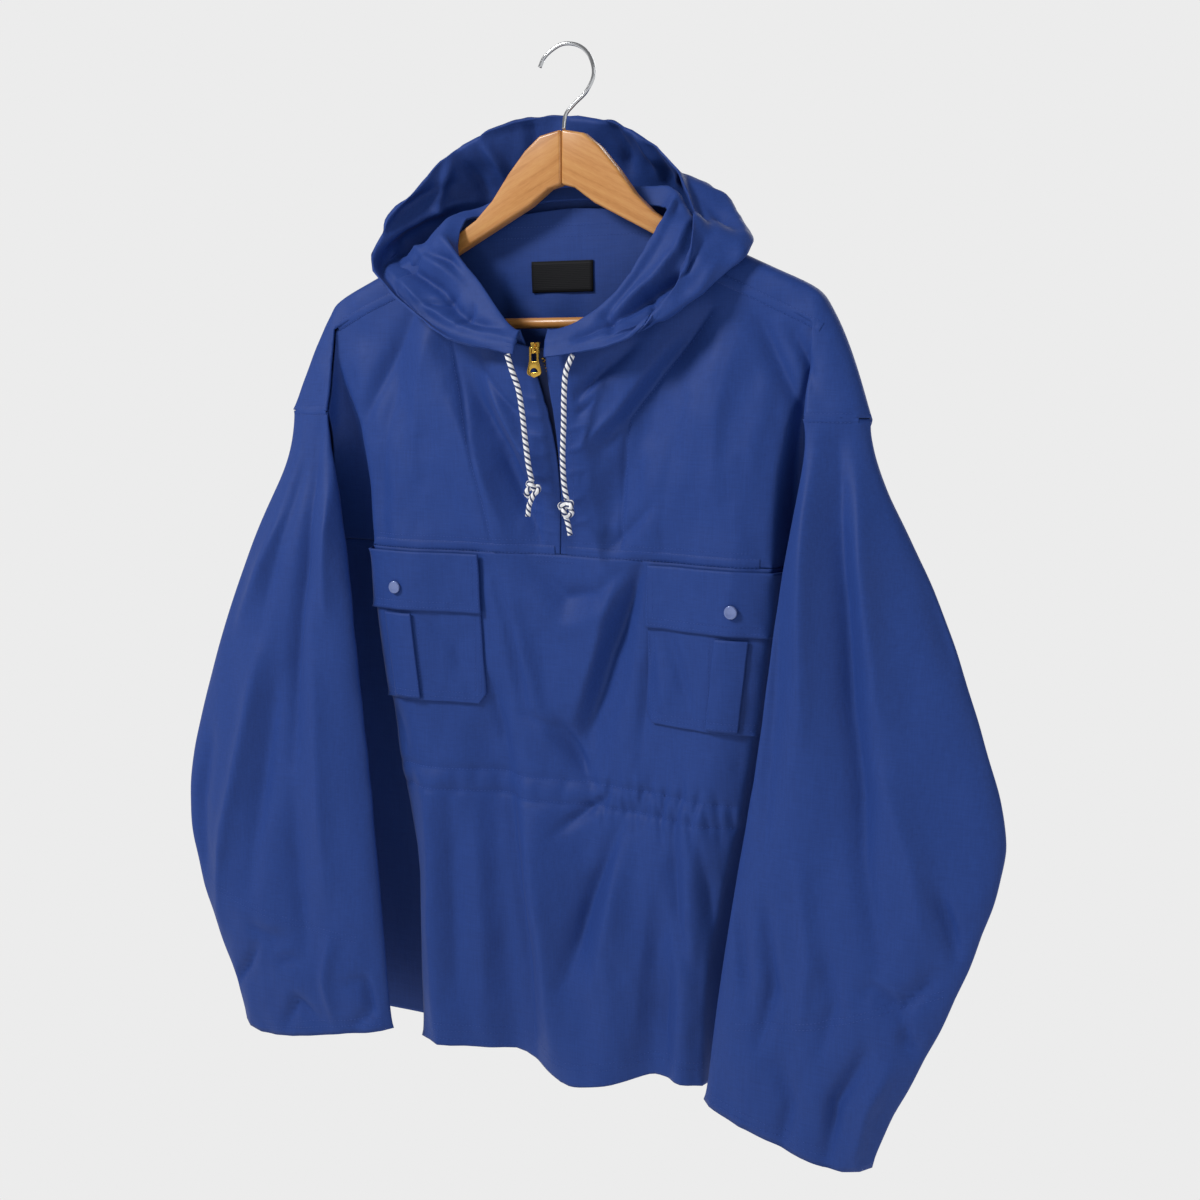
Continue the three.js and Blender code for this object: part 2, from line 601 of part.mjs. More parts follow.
// Lower front, with closer columns where the waist is puckered
const plainColumns = [-1, -0.88, -0.8, -AT_STEP, -0.695, -0.66, -AT_TIP, ...steps(12, -0.57, 0.04)];
const closeColumns = steps(19, 0.08, 0.57);
const farColumns = [0.59, AT_TIP, 0.66, 0.695, AT_STEP, 0.8, 0.88, 1];
const LOWER_V = [...steps(8, 0, 0.415), 0.455, 0.495, ...steps(10, 0.54, 1)];
add(
  "front_lower",
  clothWall([facing(1, gridOf([...plainColumns, ...closeColumns, ...farColumns], LOWER_V, lowerFront))]),
  "cloth",
);

// Back, with its wrap over both shoulders
const BACK_S = [
  ...[0.055, 0.11, 0.165, 0.22, AT_NECK, 0.345, 0.41, 0.475, 0.54],
  ...[AT_TIP, 0.68, 0.76, 0.84, 0.92, 1],
];
const backColumns = [...BACK_S.map((s) => -s).reverse(), 0, ...BACK_S];
const BACK_V = [
  ...[0, 0.003, 0.008, 0.016, 0.035, 0.07, 0.12, 0.17],
  ...[UNDERARM, 0.3, 0.4, 0.5, 0.58, 0.66, 0.74, 0.82, 0.91, 1],
];
const WRAP_A = BACK_S.filter((s) => s >= AT_NECK);
const wrapGrid = (side) => {
  const columns = side < 0 ? [...WRAP_A].reverse() : WRAP_A;
  return gridOf(columns, [0, 0.3, 0.6, 0.85, 1], (a, w) => wrap(side, a, w));
};
add("back", clothWall([gridOf(backColumns, BACK_V, back), wrapGrid(-1), wrapGrid(1)]), "cloth");

// Sleeves
const SLEEVE_T = [0, 0.05, 0.1, 0.17, 0.25, 0.34, 0.43, 0.51, 0.58, 0.66, 0.75, 0.84, 0.93, 1];
const SLEEVE_F = [
  ...[0, 0.07, 0.12, 0.165, 0.21, 0.25, 0.29, 0.335, 0.38, 0.43],
  ...[0.5, 0.57, 0.63, 0.69, 0.75, 0.81, 0.87, 0.93, 1],
];
for (const [side, name] of [[-1, "sleeve_left"], [1, "sleeve_right"]]) {
  add(name, clothWall([facing(-side, gridOf(SLEEVE_F, SLEEVE_T, (f, t) => sleeve(side, f, t)))]), "cloth");
}

// Hood
const HOOD_H = [0, 0.1, 0.2, 0.3, 0.4, 0.5, 0.6, 0.7, 0.8, 0.9, 1];
add("hood", clothWall([gridOf(steps(36), HOOD_H, hoodPoint)]), "hoodCloth");

// What lies on the lower front follows its points, moved out by whole layers of cloth.
const LYING = 0.5; // more room for what lies on a folded panel
const onFront = (count) => ({ offset: count * (LAYER + LYING) });
const patch = (side, stations, heights, layers, shape = (a, z) => [a, z]) =>
  clothWall(
    [
      facing(
        side,
        gridOf(stations, heights, (a, z) => {
          const [at, height] = shape(a, z);
          return lowerFrontAt(side * at, height);
        }),
      ),
    ],
    onFront(layers),
  );

// Pockets with a pleat strip down the middle, a flap and a snap each
const POCKET = { inner: 0.27, outer: 0.7, top: -424, bottom: -551, corner: 9 };
const FLAP = { inner: 0.265, outer: 0.7, top: -418, bottom: -470 };
const STRIP = { inner: 0.485, outer: 0.575, top: -473, bottom: -549 };
const SNAP = { at: 0.53, z: -450, radius: 5.5, face: 4.3, height: 2.4, gap: 0.5 };
const POCKET_ACROSS = [...steps(6, POCKET.inner, 0.575), AT_TIP, 0.66, POCKET.outer];
const POCKET_DOWN = [...steps(6, POCKET.top, POCKET.bottom + POCKET.corner), POCKET.bottom];
const cornered = (a, z) => {
  const low = (POCKET.bottom + POCKET.corner - z) / POCKET.corner;
  const inward = ease(1 - (a - POCKET.inner) / 0.05) * clamp(low) * 0.028;
  return [a + inward, z];
};
for (const [side, name] of [[-1, "left"], [1, "right"]]) {
  add(`pocket_${name}`, patch(side, POCKET_ACROSS, POCKET_DOWN, 1, cornered), "cloth");
  const flapAcross = [...steps(6, FLAP.inner, 0.575), AT_TIP, 0.66, FLAP.outer];
  add(`flap_${name}`, patch(side, flapAcross, steps(3, FLAP.top, FLAP.bottom), 2), "cloth");
  const strip = steps(3, STRIP.inner, STRIP.outer);
  add(`pocket_strip_${name}`, patch(side, strip, steps(4, STRIP.top, STRIP.bottom), 2), "cloth");
  const [x, y, z] = lowerFrontAt(side * SNAP.at, SNAP.z);
  const snap = new THREE.CylinderGeometry(SNAP.radius, SNAP.face, SNAP.height, 20);
  const flapFace = onFront(2).offset + WALL / 2;
  snap.translate(x, y - flapFace - SNAP.gap - SNAP.height / 2, z);
  add(`snap_${name}`, snap, "snap");
}

// Zip: a tape behind the two chest edges, a slider in the gap at its top and a pull tab
const TAPE = { width: 24, top: -244, bottom: -408, thick: 1.4 };
const tapePoint = (across, z) => {
  const [x, y] = frontSection(1, 0, z);
  return [x - valueAt(SLIT, z, "open") + across * TAPE.width, y + LAYER + 0.6, z];
};
const tapeGrid = facing(1, gridOf(steps(3, -0.5, 0.5), steps(10, TAPE.top, TAPE.bottom), tapePoint));
add("zip_tape", clothWall([tapeGrid], { thickness: TAPE.thick }), "cloth");

const SLIDER = { x: -3, front: -45.2, width: 8, long: 9, thick: 2.2, top: -239 };
const ARCH = { width: 1.8, wall: 1.1, rise: 3.3 };
const PULL = {
  ...{ bar: 1.4, eye: 5, arm: 1.9, thick: 1.4, long: 24, foot: 13.4 },
  ...{ slot: 10.1, widest: 19.7, bevel: 21.6, hole: 3.6 },
};
const HINGE = { y: SLIDER.front - SLIDER.thick - 1.3, z: SLIDER.top - 4.5 };
const box = (width, deep, high, x, y, z) => new THREE.BoxGeometry(width, deep, high).translate(x, y, z);

function solidFrom(geometry) {
  const plain = new THREE.BufferGeometry();
  plain.setAttribute("position", geometry.getAttribute("position"));
  plain.setIndex(geometry.index);
  const merged = mergeVertices(plain, 1e-4);
  return new wasm.Manifold(
    new wasm.Mesh({
      numProp: 3,
      vertProperties: merged.attributes.position.array,
      triVerts: new Uint32Array(merged.index.array),
    }),
  );
}

function geometryOf(solid) {
  const mesh = solid.getMesh();
  const geometry = new THREE.BufferGeometry();
  geometry.setAttribute("position", new THREE.BufferAttribute(mesh.vertProperties, 3));
  geometry.setIndex(new THREE.BufferAttribute(mesh.triVerts, 1));
  return geometry;
}

const joined = (...geometries) =>
  geometryOf(geometries.map(solidFrom).reduce((whole, solid) => whole.add(solid)));

{
  const body = SLIDER.front - SLIDER.thick / 2;
  const middle = SLIDER.top - SLIDER.long / 2;
  const inner = ARCH.rise;
  const face = SLIDER.front - SLIDER.thick;
  const legZ = SLIDER.long / 2 - ARCH.wall / 2;
  add(
    "zip_slider",
    joined(
      box(SLIDER.width, SLIDER.thick, SLIDER.long, SLIDER.x, body, middle),
      box(ARCH.width, ARCH.wall, SLIDER.long, SLIDER.x, face - inner + ARCH.wall / 2 - 0.1, middle),
      box(ARCH.width, inner, ARCH.wall, SLIDER.x, face - inner / 2 + 0.1, middle + legZ),
      box(ARCH.width, inner, ARCH.wall, SLIDER.x, face - inner / 2 + 0.1, middle - legZ),
    ),
    "brass",
  );
}

// The pull tab hangs from its bar under the slider's arch: a slot above, a half-round hole below
{
  const outline = new THREE.Shape();
  const top = PULL.bar / 2;
  const halfEye = PULL.eye / 2;
  const shoulder = halfEye + PULL.arm;
  outline.moveTo(-shoulder, top);
  outline.lineTo(-shoulder, -PULL.slot);
  outline.lineTo(-PULL.foot / 2, -PULL.widest);
  outline.lineTo(-PULL.foot / 2 + 1, -PULL.bevel);
  outline.lineTo(0, -PULL.long);
  outline.lineTo(PULL.foot / 2 - 1, -PULL.bevel);
  outline.lineTo(PULL.foot / 2, -PULL.widest);
  outline.lineTo(shoulder, -PULL.slot);
  outline.lineTo(shoulder, top);
  const plate = new THREE.ExtrudeGeometry(outline, { depth: PULL.thick, bevelEnabled: false });
  const slotMiddle = -(PULL.bar + PULL.slot) / 2;
  const slot = box(PULL.eye, PULL.slot, 2 * PULL.thick, 0, slotMiddle, PULL.thick / 2);
  const half = new THREE.Shape();
  half.absarc(0, -PULL.widest, PULL.hole, 0, Math.PI, false);
  const deepCut = { depth: 2 * PULL.thick, bevelEnabled: false, curveSegments: 6 };
  const hole = new THREE.ExtrudeGeometry(half, deepCut);
  hole.translate(0, 0, -PULL.thick / 2);
  const tab = geometryOf(solidFrom(plate).subtract(solidFrom(slot)).subtract(solidFrom(hole)));
  tab.translate(0, 0, -PULL.thick / 2);
  tab.rotateX(Math.PI / 2);
  tab.translate(SLIDER.x, HINGE.y, HINGE.z);
  add("zip_pull", tab, "brass");
}

// Drawcords out of the hood's two ends, each knotted near its tip
const CORD = { diameter: 4.5, knot: 5.6, gap: 1.3, tail: 22 };
const CORD_LEFT = [
  [-21, -61.5, -248.5],
  [-17, -60.5, -262],
  [-13, -58, -276],
  [-11, -55, -296],
  [-10, -52, -318],
  [-8, -50, -340],
  [-6, -48.5, -352],
];
const CORD_RIGHT = [
  [38, -61, -249.6],
  [32, -60.2, -262],
  [29, -58, -280],
  [27, -55, -304],
  [25, -53, -330],
  [25, -51, -352],
  [27, -50, -366],
];
function cordTube(points, diameter, count, sides = 10) {
  const path = new THREE.CatmullRomCurve3(points.map((p) => new THREE.Vector3(...p)));
  const section = new THREE.Shape();
  section.absarc(0, 0, diameter / 2, 0, 2 * Math.PI, false);
  return new THREE.ExtrudeGeometry(section, { steps: count, curveSegments: sides / 2, extrudePath: path });
}
for (const [name, points, lean] of [["left", CORD_LEFT, -4], ["right", CORD_RIGHT, 3]]) {
  add(`drawcord_${name}`, cordTube(points, CORD.diameter, 12), "cord");
  const [x, y, z] = points.at(-1);
  const knot = new THREE.SphereGeometry(CORD.knot, 12, 8);
  knot.scale(1, 0.9, 1.15);
  const middle = z - CORD.knot - CORD.gap;
  const tail = cordTube(
    [
      [x, y, middle],
      [x + lean / 2, y, middle - CORD.tail / 2],
      [x + lean, y, middle - CORD.tail],
    ],
    CORD.diameter,
    4,
  );
  knot.translate(x, y, middle);
  add(`drawcord_knot_${name}`, joined(knot, tail), "cord");
}

// A bare label inside the back of the neck
const LABEL = { x: -9, width: 58, top: -170, bottom: -196, thick: 1, gap: 0.35 };
const labelPoint = (x, z) => {
  const top = ridgePoint(1, 0)[2];
  const [, y] = back(x / bodyAt(z, "edge"), (z - top) / (HEM_Z - top));
  return [x, y - (WALL + LABEL.thick) / 2 - LABEL.gap, z];
};
const labelX = steps(4, LABEL.x - LABEL.width / 2, LABEL.x + LABEL.width / 2);
const labelGrid = facing(1, gridOf(labelX, steps(2, LABEL.top, LABEL.bottom), labelPoint));
add("label", clothWall([labelGrid], { thickness: LABEL.thick }), "label");

// The hanger: two arms meeting at the middle, a bar between their ends and the hook
const ARM = [
  [SEAM / 2, ARM_TOP[0][1]],
  ...ARM_TOP.slice(1, -1),
  [205, -196],
  [219, -206],
  [TIP_X, -213],
  [220, -230],
  [204, -232],
  [199, -227],
  [197, -211],
  [84, -154],
  [30, -126],
  [12, -113],
  [SEAM / 2, -110],
];
for (const [side, name] of [[-1, "hanger_arm_left"], [1, "hanger_arm_right"]]) {
  const shape = new THREE.Shape(ARM.map(([x, z]) => new THREE.Vector2(side * x, z)));
  const arm = new THREE.ExtrudeGeometry(shape, { depth: WOOD, bevelEnabled: false });
  arm.rotateX(Math.PI / 2);
  arm.translate(0, WOOD / 2, 0);
  add(name, arm, "wood");
}
const BAR_HALF = 197;
const bar = new THREE.CylinderGeometry(BAR_DIAMETER / 2, BAR_DIAMETER / 2, 2 * BAR_HALF, 16);
bar.rotateZ(Math.PI / 2);
bar.translate(0, 0, BAR_Z);
add("hanger_bar", bar, "wood");

// The hook's wire, from the stem round the crown to its turned tip
const CROWN = WIRE / 2;
const HOOK = [
  [0, 0, ARM_TOP[0][1] + SEAM],
  [2, 0, -54],
  [10, 0, -46],
  [21, 0, -37],
  [27.5, 0, -24],
  [24, 0, -10],
  [14, 0, -1],
  [0, 0, CROWN],
  [-10, 0, -2],
  [-18, 0, -8],
  [-22, 0, -15],
];
add("hanger_hook", cordTube(HOOK, WIRE, 44, 8), "steel");

export default anorak;
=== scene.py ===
# %% [markdown]
# # A hooded pullover anorak on its wooden hanger
# The garment is thin, crisp cotton, so most of its look is in how the cloth hangs: long folds that
# fall from the shoulders, a waist that is drawn in, and a hood turned over on itself. The solid
# parts are loaded first. They give every place and size, in metres, with Z up.

# %% Load the parts
import math

import bmesh
import bpy
import numpy as np
from mathutils import Matrix, Vector, noise
from mathutils.bvhtree import BVHTree


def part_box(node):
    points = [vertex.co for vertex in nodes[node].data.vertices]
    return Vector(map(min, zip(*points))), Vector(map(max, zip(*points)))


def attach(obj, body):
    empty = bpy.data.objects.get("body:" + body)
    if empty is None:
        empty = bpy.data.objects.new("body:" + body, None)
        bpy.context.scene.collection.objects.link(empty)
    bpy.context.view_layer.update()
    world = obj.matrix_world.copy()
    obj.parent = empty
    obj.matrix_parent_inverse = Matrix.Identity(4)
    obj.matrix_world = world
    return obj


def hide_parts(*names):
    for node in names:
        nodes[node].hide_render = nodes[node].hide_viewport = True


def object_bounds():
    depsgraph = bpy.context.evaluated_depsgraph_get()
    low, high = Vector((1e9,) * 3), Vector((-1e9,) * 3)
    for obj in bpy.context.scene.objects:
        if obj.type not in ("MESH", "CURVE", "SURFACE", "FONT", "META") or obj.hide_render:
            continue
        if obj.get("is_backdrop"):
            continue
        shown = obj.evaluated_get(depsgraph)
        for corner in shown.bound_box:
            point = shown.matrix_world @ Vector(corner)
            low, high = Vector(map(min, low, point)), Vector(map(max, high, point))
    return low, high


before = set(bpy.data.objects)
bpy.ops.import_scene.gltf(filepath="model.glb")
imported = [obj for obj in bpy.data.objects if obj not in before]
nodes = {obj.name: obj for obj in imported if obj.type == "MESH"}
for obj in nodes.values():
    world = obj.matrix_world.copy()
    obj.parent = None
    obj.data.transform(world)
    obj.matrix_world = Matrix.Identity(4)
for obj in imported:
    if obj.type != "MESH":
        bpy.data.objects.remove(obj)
cad_box = [[float(c) for c in corner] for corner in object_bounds()]
MM = 0.001
print("parts loaded:", len(nodes))

# %% [markdown]
# ## Camera and light
# The garment is seen a little from its right and from just above, as if by someone in front of it.
# A pale floor far below and an even, pale sky keep the blue cloth readable. One large soft light
# stands in front on the left, so that the folds shade gently, and a weaker one fills the right. A
# third stands behind, for the views of the back.

# %% Camera, floor and lights
PALE = "ECECEC"
FLOOR_HEIGHT = -2.2
FLOOR_HALF_WIDTH = 30
camera_data = bpy.data.cameras.new("camera")
camera_data.lens = 43.6
camera_data.sensor_width = 36
camera = bpy.data.objects.new("camera", camera_data)
camera.location = (0.564, -1.107, -0.261)
camera.rotation_euler = (math.radians(81), 0, math.radians(25.62))
bpy.context.scene.collection.objects.link(camera)
bpy.context.scene.camera = camera
bpy.context.scene.view_settings.view_transform = "Standard"


def linear(hex_colour):
    """An sRGB colour such as 2C4888 as linear red, green, blue and alpha."""
    channels = [int(hex_colour[i:i + 2], 16) / 255 for i in (0, 2, 4)]
    return [c / 12.92 if c < 0.04045 else ((c + 0.055) / 1.055) ** 2.4 for c in channels] + [1]


world = bpy.data.worlds.new("pale_sky")
world.use_nodes = True
sky = world.node_tree
sky.nodes["Background"].inputs["Color"].default_value = linear(PALE)
sky.nodes["Background"].inputs["Strength"].default_value = 0.3
# the sky that shows behind the garment is brighter than the light it gives
seen = sky.nodes.new("ShaderNodeBackground")
seen.inputs["Color"].default_value = linear(PALE)
seen.inputs["Strength"].default_value = 1.0
ray = sky.nodes.new("ShaderNodeLightPath")
either = sky.nodes.new("ShaderNodeMixShader")
sky.links.new(ray.outputs["Is Camera Ray"], either.inputs[0])
sky.links.new(sky.nodes["Background"].outputs[0], either.inputs[1])
sky.links.new(seen.outputs[0], either.inputs[2])
sky.links.new(either.outputs[0], sky.nodes["World Output"].inputs["Surface"])
bpy.context.scene.world = world


def area_light(name, place, target, size, power):
    """A square soft light that looks from its place towards a target."""
    lamp = bpy.data.lights.new(name, "AREA")
    lamp.size = size
    lamp.energy = power
    lamp_object = bpy.data.objects.new(name, lamp)
    lamp_object.location = place
    lamp_object.rotation_euler = (Vector(target) - Vector(place)).to_track_quat("-Z", "Y").to_euler()
    bpy.context.scene.collection.objects.link(lamp_object)


area_light("key", (-1.6, -1.9, 1.5), (0, 0, -0.4), 0.7, 70)
area_light("fill", (2.5, -1.5, 0.5), (0, 0, -0.5), 1.4, 12)
area_light("back", (0.5, 2.6, 0.9), (0, 0, -0.5), 1.6, 26)


def piece_from(form, name):
    """Makes a bmesh into an object of the scene, at the origin."""
    mesh = bpy.data.meshes.new(name)
    form.to_mesh(mesh)
    form.free()
    piece = bpy.data.objects.new(name, mesh)
    bpy.context.scene.collection.objects.link(piece)
    return piece


floor_form = bmesh.new()
bmesh.ops.create_grid(floor_form, x_segments=1, y_segments=1, size=FLOOR_HALF_WIDTH)
bmesh.ops.translate(floor_form, verts=floor_form.verts, vec=(0, 0, FLOOR_HEIGHT))
floor = piece_from(floor_form, "floor")
floor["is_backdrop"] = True
print("camera and lights placed")

# %% [markdown]
# ## A way to build materials
# Every finish below is a Principled surface with a few nodes in front of it. One helper adds a
# node, sets its values and joins its inputs, so a material reads as a list of what it is made of.


# %% Material helpers
def add_node(material, kind, settings=None, stops=(), **inputs):
    """Adds a node, sets its properties and its inputs, which are values or other nodes' outputs.

    A colour ramp also has stops, each a place and an sRGB colour.
    """
    node = material.node_tree.nodes.new(kind)
    for name, value in (settings or {}).items():
        setattr(node, name, value)
    if stops:
        elements = node.color_ramp.elements
        for _ in stops[2:]:
            elements.new(0.5)
        for element, (place, colour) in zip(elements, stops):
            element.position = place
            element.color = linear(colour)
    for name, value in inputs.items():
        key = int(name[1:]) if name[0] == "_" else name.replace("_", " ")
        if isinstance(value, bpy.types.NodeSocket):
            material.node_tree.links.new(value, node.inputs[key])
        else:
            node.inputs[key].default_value = value
    return node


def new_material(name, colour, roughness, metallic=0.0, **values):
    """A Principled material; the values are set on the shader's own sockets."""
    material = bpy.data.materials.new(name)
    material.use_nodes = True
    shader = material.node_tree.nodes["Principled BSDF"]
    shader.inputs["Base Color"].default_value = linear(colour)
    shader.inputs["Roughness"].default_value = roughness
    shader.inputs["Metallic"].default_value = metallic
    for socket, value in values.items():
        shader.inputs[socket.replace("_", " ")].default_value = value
    return material, shader


def join(material, output, shader, socket):
    """Joins a node's output to a socket of the shader."""
    material.node_tree.links.new(output, shader.inputs[socket])


def place_on(piece, material):
    """Gives a piece its one material."""
    piece.data.materials.clear()
    piece.data.materials.append(material)


# the floor glows faintly, so that it is as pale as the sky all the way to its edge
floor_paint, floor_shader = new_material("matte_floor_paint", "000000", 0.95)
floor_shader.inputs["Specular IOR Level"].default_value = 0.0
floor_shader.inputs["Emission Color"].default_value = linear(PALE)
floor_shader.inputs["Emission Strength"].default_value = 1.0
floor.data.materials.append(floor_paint)

# %% [markdown]
# ## Drawcords
# A braided cotton cord of 4.5 mm comes out of each end of the hood's channel and hangs under its
# own weight, with an overhand knot near its end so that it can't slip back. It is white with fine
# navy threads that run round it as a spiral. A tube that is extruded ring by ring along the route
# keeps a clean map along and around the cord, and the spiral follows that map.

# %% Routes
CORD_DIAMETER = 4.5 * MM
CORD_ROUTES = {
    "left": [
        (-21, -61.5, -248.5), (-17, -60.5, -262), (-13, -58, -276), (-11, -55, -296),
        (-10, -52, -318), (-8, -50, -340), (-6, -48.5, -352),
    ],
    "right": [
        (38, -61, -249.6), (32, -60.2, -262), (29, -58, -280), (27, -55, -304),
        (25, -53, -330), (25, -51, -352), (27, -50, -366),
    ],
}


def smooth_route(points, count):
    """A Catmull-Rom line through the points, in metres, as evenly stepped points."""
    rows = [Vector(p) * MM for p in points]
    rows = [2 * rows[0] - rows[1], *rows, 2 * rows[-1] - rows[-2]]
    fine = []
    for i in range(1, len(rows) - 2):
        p, q, r, s = rows[i - 1:i + 3]
        a, b, c = [(v - u).length ** 0.5 for u, v in ((p, q), (q, r), (r, s))]
        leave = ((q - p) / a - (r - p) / (a + b) + (r - q) / b) * b
        reach = ((r - q) / b - (s - q) / (b + c) + (s - r) / c) * b
        for k in range(40):
            t = k / 40
            fine.append(
                q * (2 * t ** 3 - 3 * t ** 2 + 1) + leave * (t ** 3 - 2 * t ** 2 + t)
                + r * (3 * t ** 2 - 2 * t ** 3) + reach * (t ** 3 - t ** 2)
            )
    fine.append(rows[-2].copy())
    run = [0.0]
    for u, v in zip(fine, fine[1:]):
        run.append(run[-1] + (v - u).length)
    even = []
    for k in range(count + 1):
        goal = run[-1] * k / count
        i = max(1, next((j for j, d in enumerate(run) if d >= goal - 1e-12), len(run) - 1))
        share = (goal - run[i - 1]) / max(1e-9, run[i] - run[i - 1])
        even.append(fine[i - 1].lerp(fine[i], share))
    return even, run[-1]


def tube(name, path, diameter, sides=16):
    """A closed tube along a path, extruded ring by ring, with a map along and around it."""
    form = bmesh.new()
    side_of = form.verts.layers.int.new("side")
    step_of = form.verts.layers.int.new("step")
    tangents = [
        (path[min(i + 1, len(path) - 1)] - path[max(i - 1, 0)]).normalized()
        for i in range(len(path))
    ]
    turn = tangents[0].to_track_quat("Z", "Y").to_matrix()
    ring = bmesh.ops.create_circle(form, radius=diameter / 2, segments=sides)["verts"]
    for i, vert in enumerate(ring):
        vert[side_of] = i
        vert.co = path[0] + turn @ vert.co
    edges = list(form.edges)
    for step in range(1, len(path)):
        made = bmesh.ops.extrude_edge_only(form, edges=edges)["geom"]
        verts = [g for g in made if isinstance(g, bmesh.types.BMVert)]
        edges = [g for g in made if isinstance(g, bmesh.types.BMEdge)]
        edges = [e for e in edges if all(v in verts for v in e.verts)]
        swing = tangents[step - 1].rotation_difference(tangents[step]).to_matrix()
        for vert in verts:
            vert[step_of] = step
            vert.co = path[step] + swing @ (vert.co - path[step - 1])
    bmesh.ops.holes_fill(form, edges=[e for e in form.edges if e.is_boundary], sides=sides)
    run = [0.0]
    for u, v in zip(path, path[1:]):
        run.append(run[-1] + (v - u).length)
    layer = form.loops.layers.uv.new("along_and_around")
    for face in form.faces:
        around = [loop.vert[side_of] for loop in face.loops]
        wraps = max(around) - min(around) > sides / 2
        for loop, side in zip(face.loops, around):
            full = side + sides if wraps and side < sides / 2 else side
            loop[layer].uv = (run[loop.vert[step_of]] / diameter, full / sides)
        face.smooth = True
    bmesh.ops.recalc_face_normals(form, faces=form.faces)
    return piece_from(form, name)


# %% [markdown]
# The braid is a plain woven sleeve: white cotton, with two navy threads that climb round the cord
# side by side. The map along and around the cord gives both the stripes and the small ridges of the
# strands. The number of threads is whole, so that they close round the cord.

# %% Braided cotton
THREADS = 2.0
TURNS_PER_DIAMETER = 0.85  # of both threads together, so each goes round once in 2.4 diameters
cord_cotton, cord_shader = new_material("braided_white_cotton", "E9E9EC", 0.82, Sheen_Weight=0.2)
cord_map = add_node(cord_cotton, "ShaderNodeUVMap", {"uv_map": "along_and_around"}).outputs["UV"]
cord_parts = add_node(cord_cotton, "ShaderNodeSeparateXYZ", Vector=cord_map)
turns = add_node(
    cord_cotton, "ShaderNodeMath", {"operation": "MULTIPLY"},
    _0=cord_parts.outputs["X"], _1=TURNS_PER_DIAMETER,
)
climb = add_node(
    cord_cotton, "ShaderNodeMath", {"operation": "MULTIPLY_ADD"},
    _0=cord_parts.outputs["Y"], _1=THREADS, _2=turns.outputs[0],
)
strand = add_node(cord_cotton, "ShaderNodeMath", {"operation": "FRACT"}, _0=climb.outputs[0])
stripe = add_node(
    cord_cotton, "ShaderNodeValToRGB", Fac=strand.outputs[0],
    stops=[(0.0, "F4F4F5"), (0.5, "F0F0F2"), (0.56, "2A3A66"), (0.9, "26345E"), (0.96, "F4F4F5")],
)
join(cord_cotton, stripe.outputs["Color"], cord_shader, "Base Color")
ridge = add_node(
    cord_cotton, "ShaderNodeMath", {"operation": "PINGPONG"}, _0=climb.outputs[0], _1=0.5,
)
cord_bump = add_node(
    cord_cotton, "ShaderNodeBump", Height=ridge.outputs[0], Strength=0.5, Distance=0.3 * MM,
)
join(cord_cotton, cord_bump.outputs["Normal"], cord_shader, "Normal")

# %% Cords and their knots
KNOT_SCALE = 2.05 * MM
KNOT_DROP = 6.9  # from the cord's end to the knot's middle
TAIL = 22
KNOT_STEPS = 48
for side, lean in (("left", -4), ("right", 3)):
    path, length = smooth_route(CORD_ROUTES[side], 60)
    cord = tube(f"cord_{side}", path, CORD_DIAMETER)
    place_on(cord, cord_cotton)
    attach(cord, "anorak")
    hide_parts(f"drawcord_{side}")
    x, y, z = CORD_ROUTES[side][-1]
    centre = Vector((x, y, z - KNOT_DROP)) * MM
    turn = Matrix.Rotation(0.5 if side == "left" else -0.3, 3, "Y")
    knot_path = []
    for k in range(KNOT_STEPS + 1):
        # an overhand knot is a trefoil that is cut open at its top
        a = math.radians(-150 + 300 * k / KNOT_STEPS) + math.pi
        loop = Vector((
            math.sin(a) + 2 * math.sin(2 * a),
            -math.sin(3 * a),
            math.cos(a) - 2 * math.cos(2 * a),
        ))
        knot_path.append(centre + turn @ (loop * KNOT_SCALE))
    top = Vector((x, y, z)) * MM
    if (knot_path[-1] - top).length < (knot_path[0] - top).length:
        knot_path.reverse()
    end = Vector((x + lean, y, z - KNOT_DROP - TAIL)) * MM
    middle = knot_path[-1].lerp(end, 0.5) + Vector((lean * 0.4, -0.5, 0)) * MM
    points = [top, *knot_path, middle, end]
    whole, _ = smooth_route([p / MM for p in points], 150)
    knot = tube(f"knot_{side}", whole, CORD_DIAMETER * 0.94, sides=14)
    place_on(knot, cord_cotton)
    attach(knot, "anorak")
    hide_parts(f"drawcord_knot_{side}")
    print("cord", side, round(length, 4))

# %% [markdown]
# ## The cloth
# The main pieces are thin shells on the solid parts. A copy of each solid is welded, its triangles
# are paired into quads, and it is subdivided until the cloth bends smoothly. Only then are the
# creases pressed in: each is a line with a width and a height, high for a ridge and below zero for
# a trough. They are uneven, as in real cloth, and what lies on a panel moves with it.


# %% Shells from the solid parts
CRISP = 2.3  # how much sharper than the listed heights the dry, crisp cotton stands


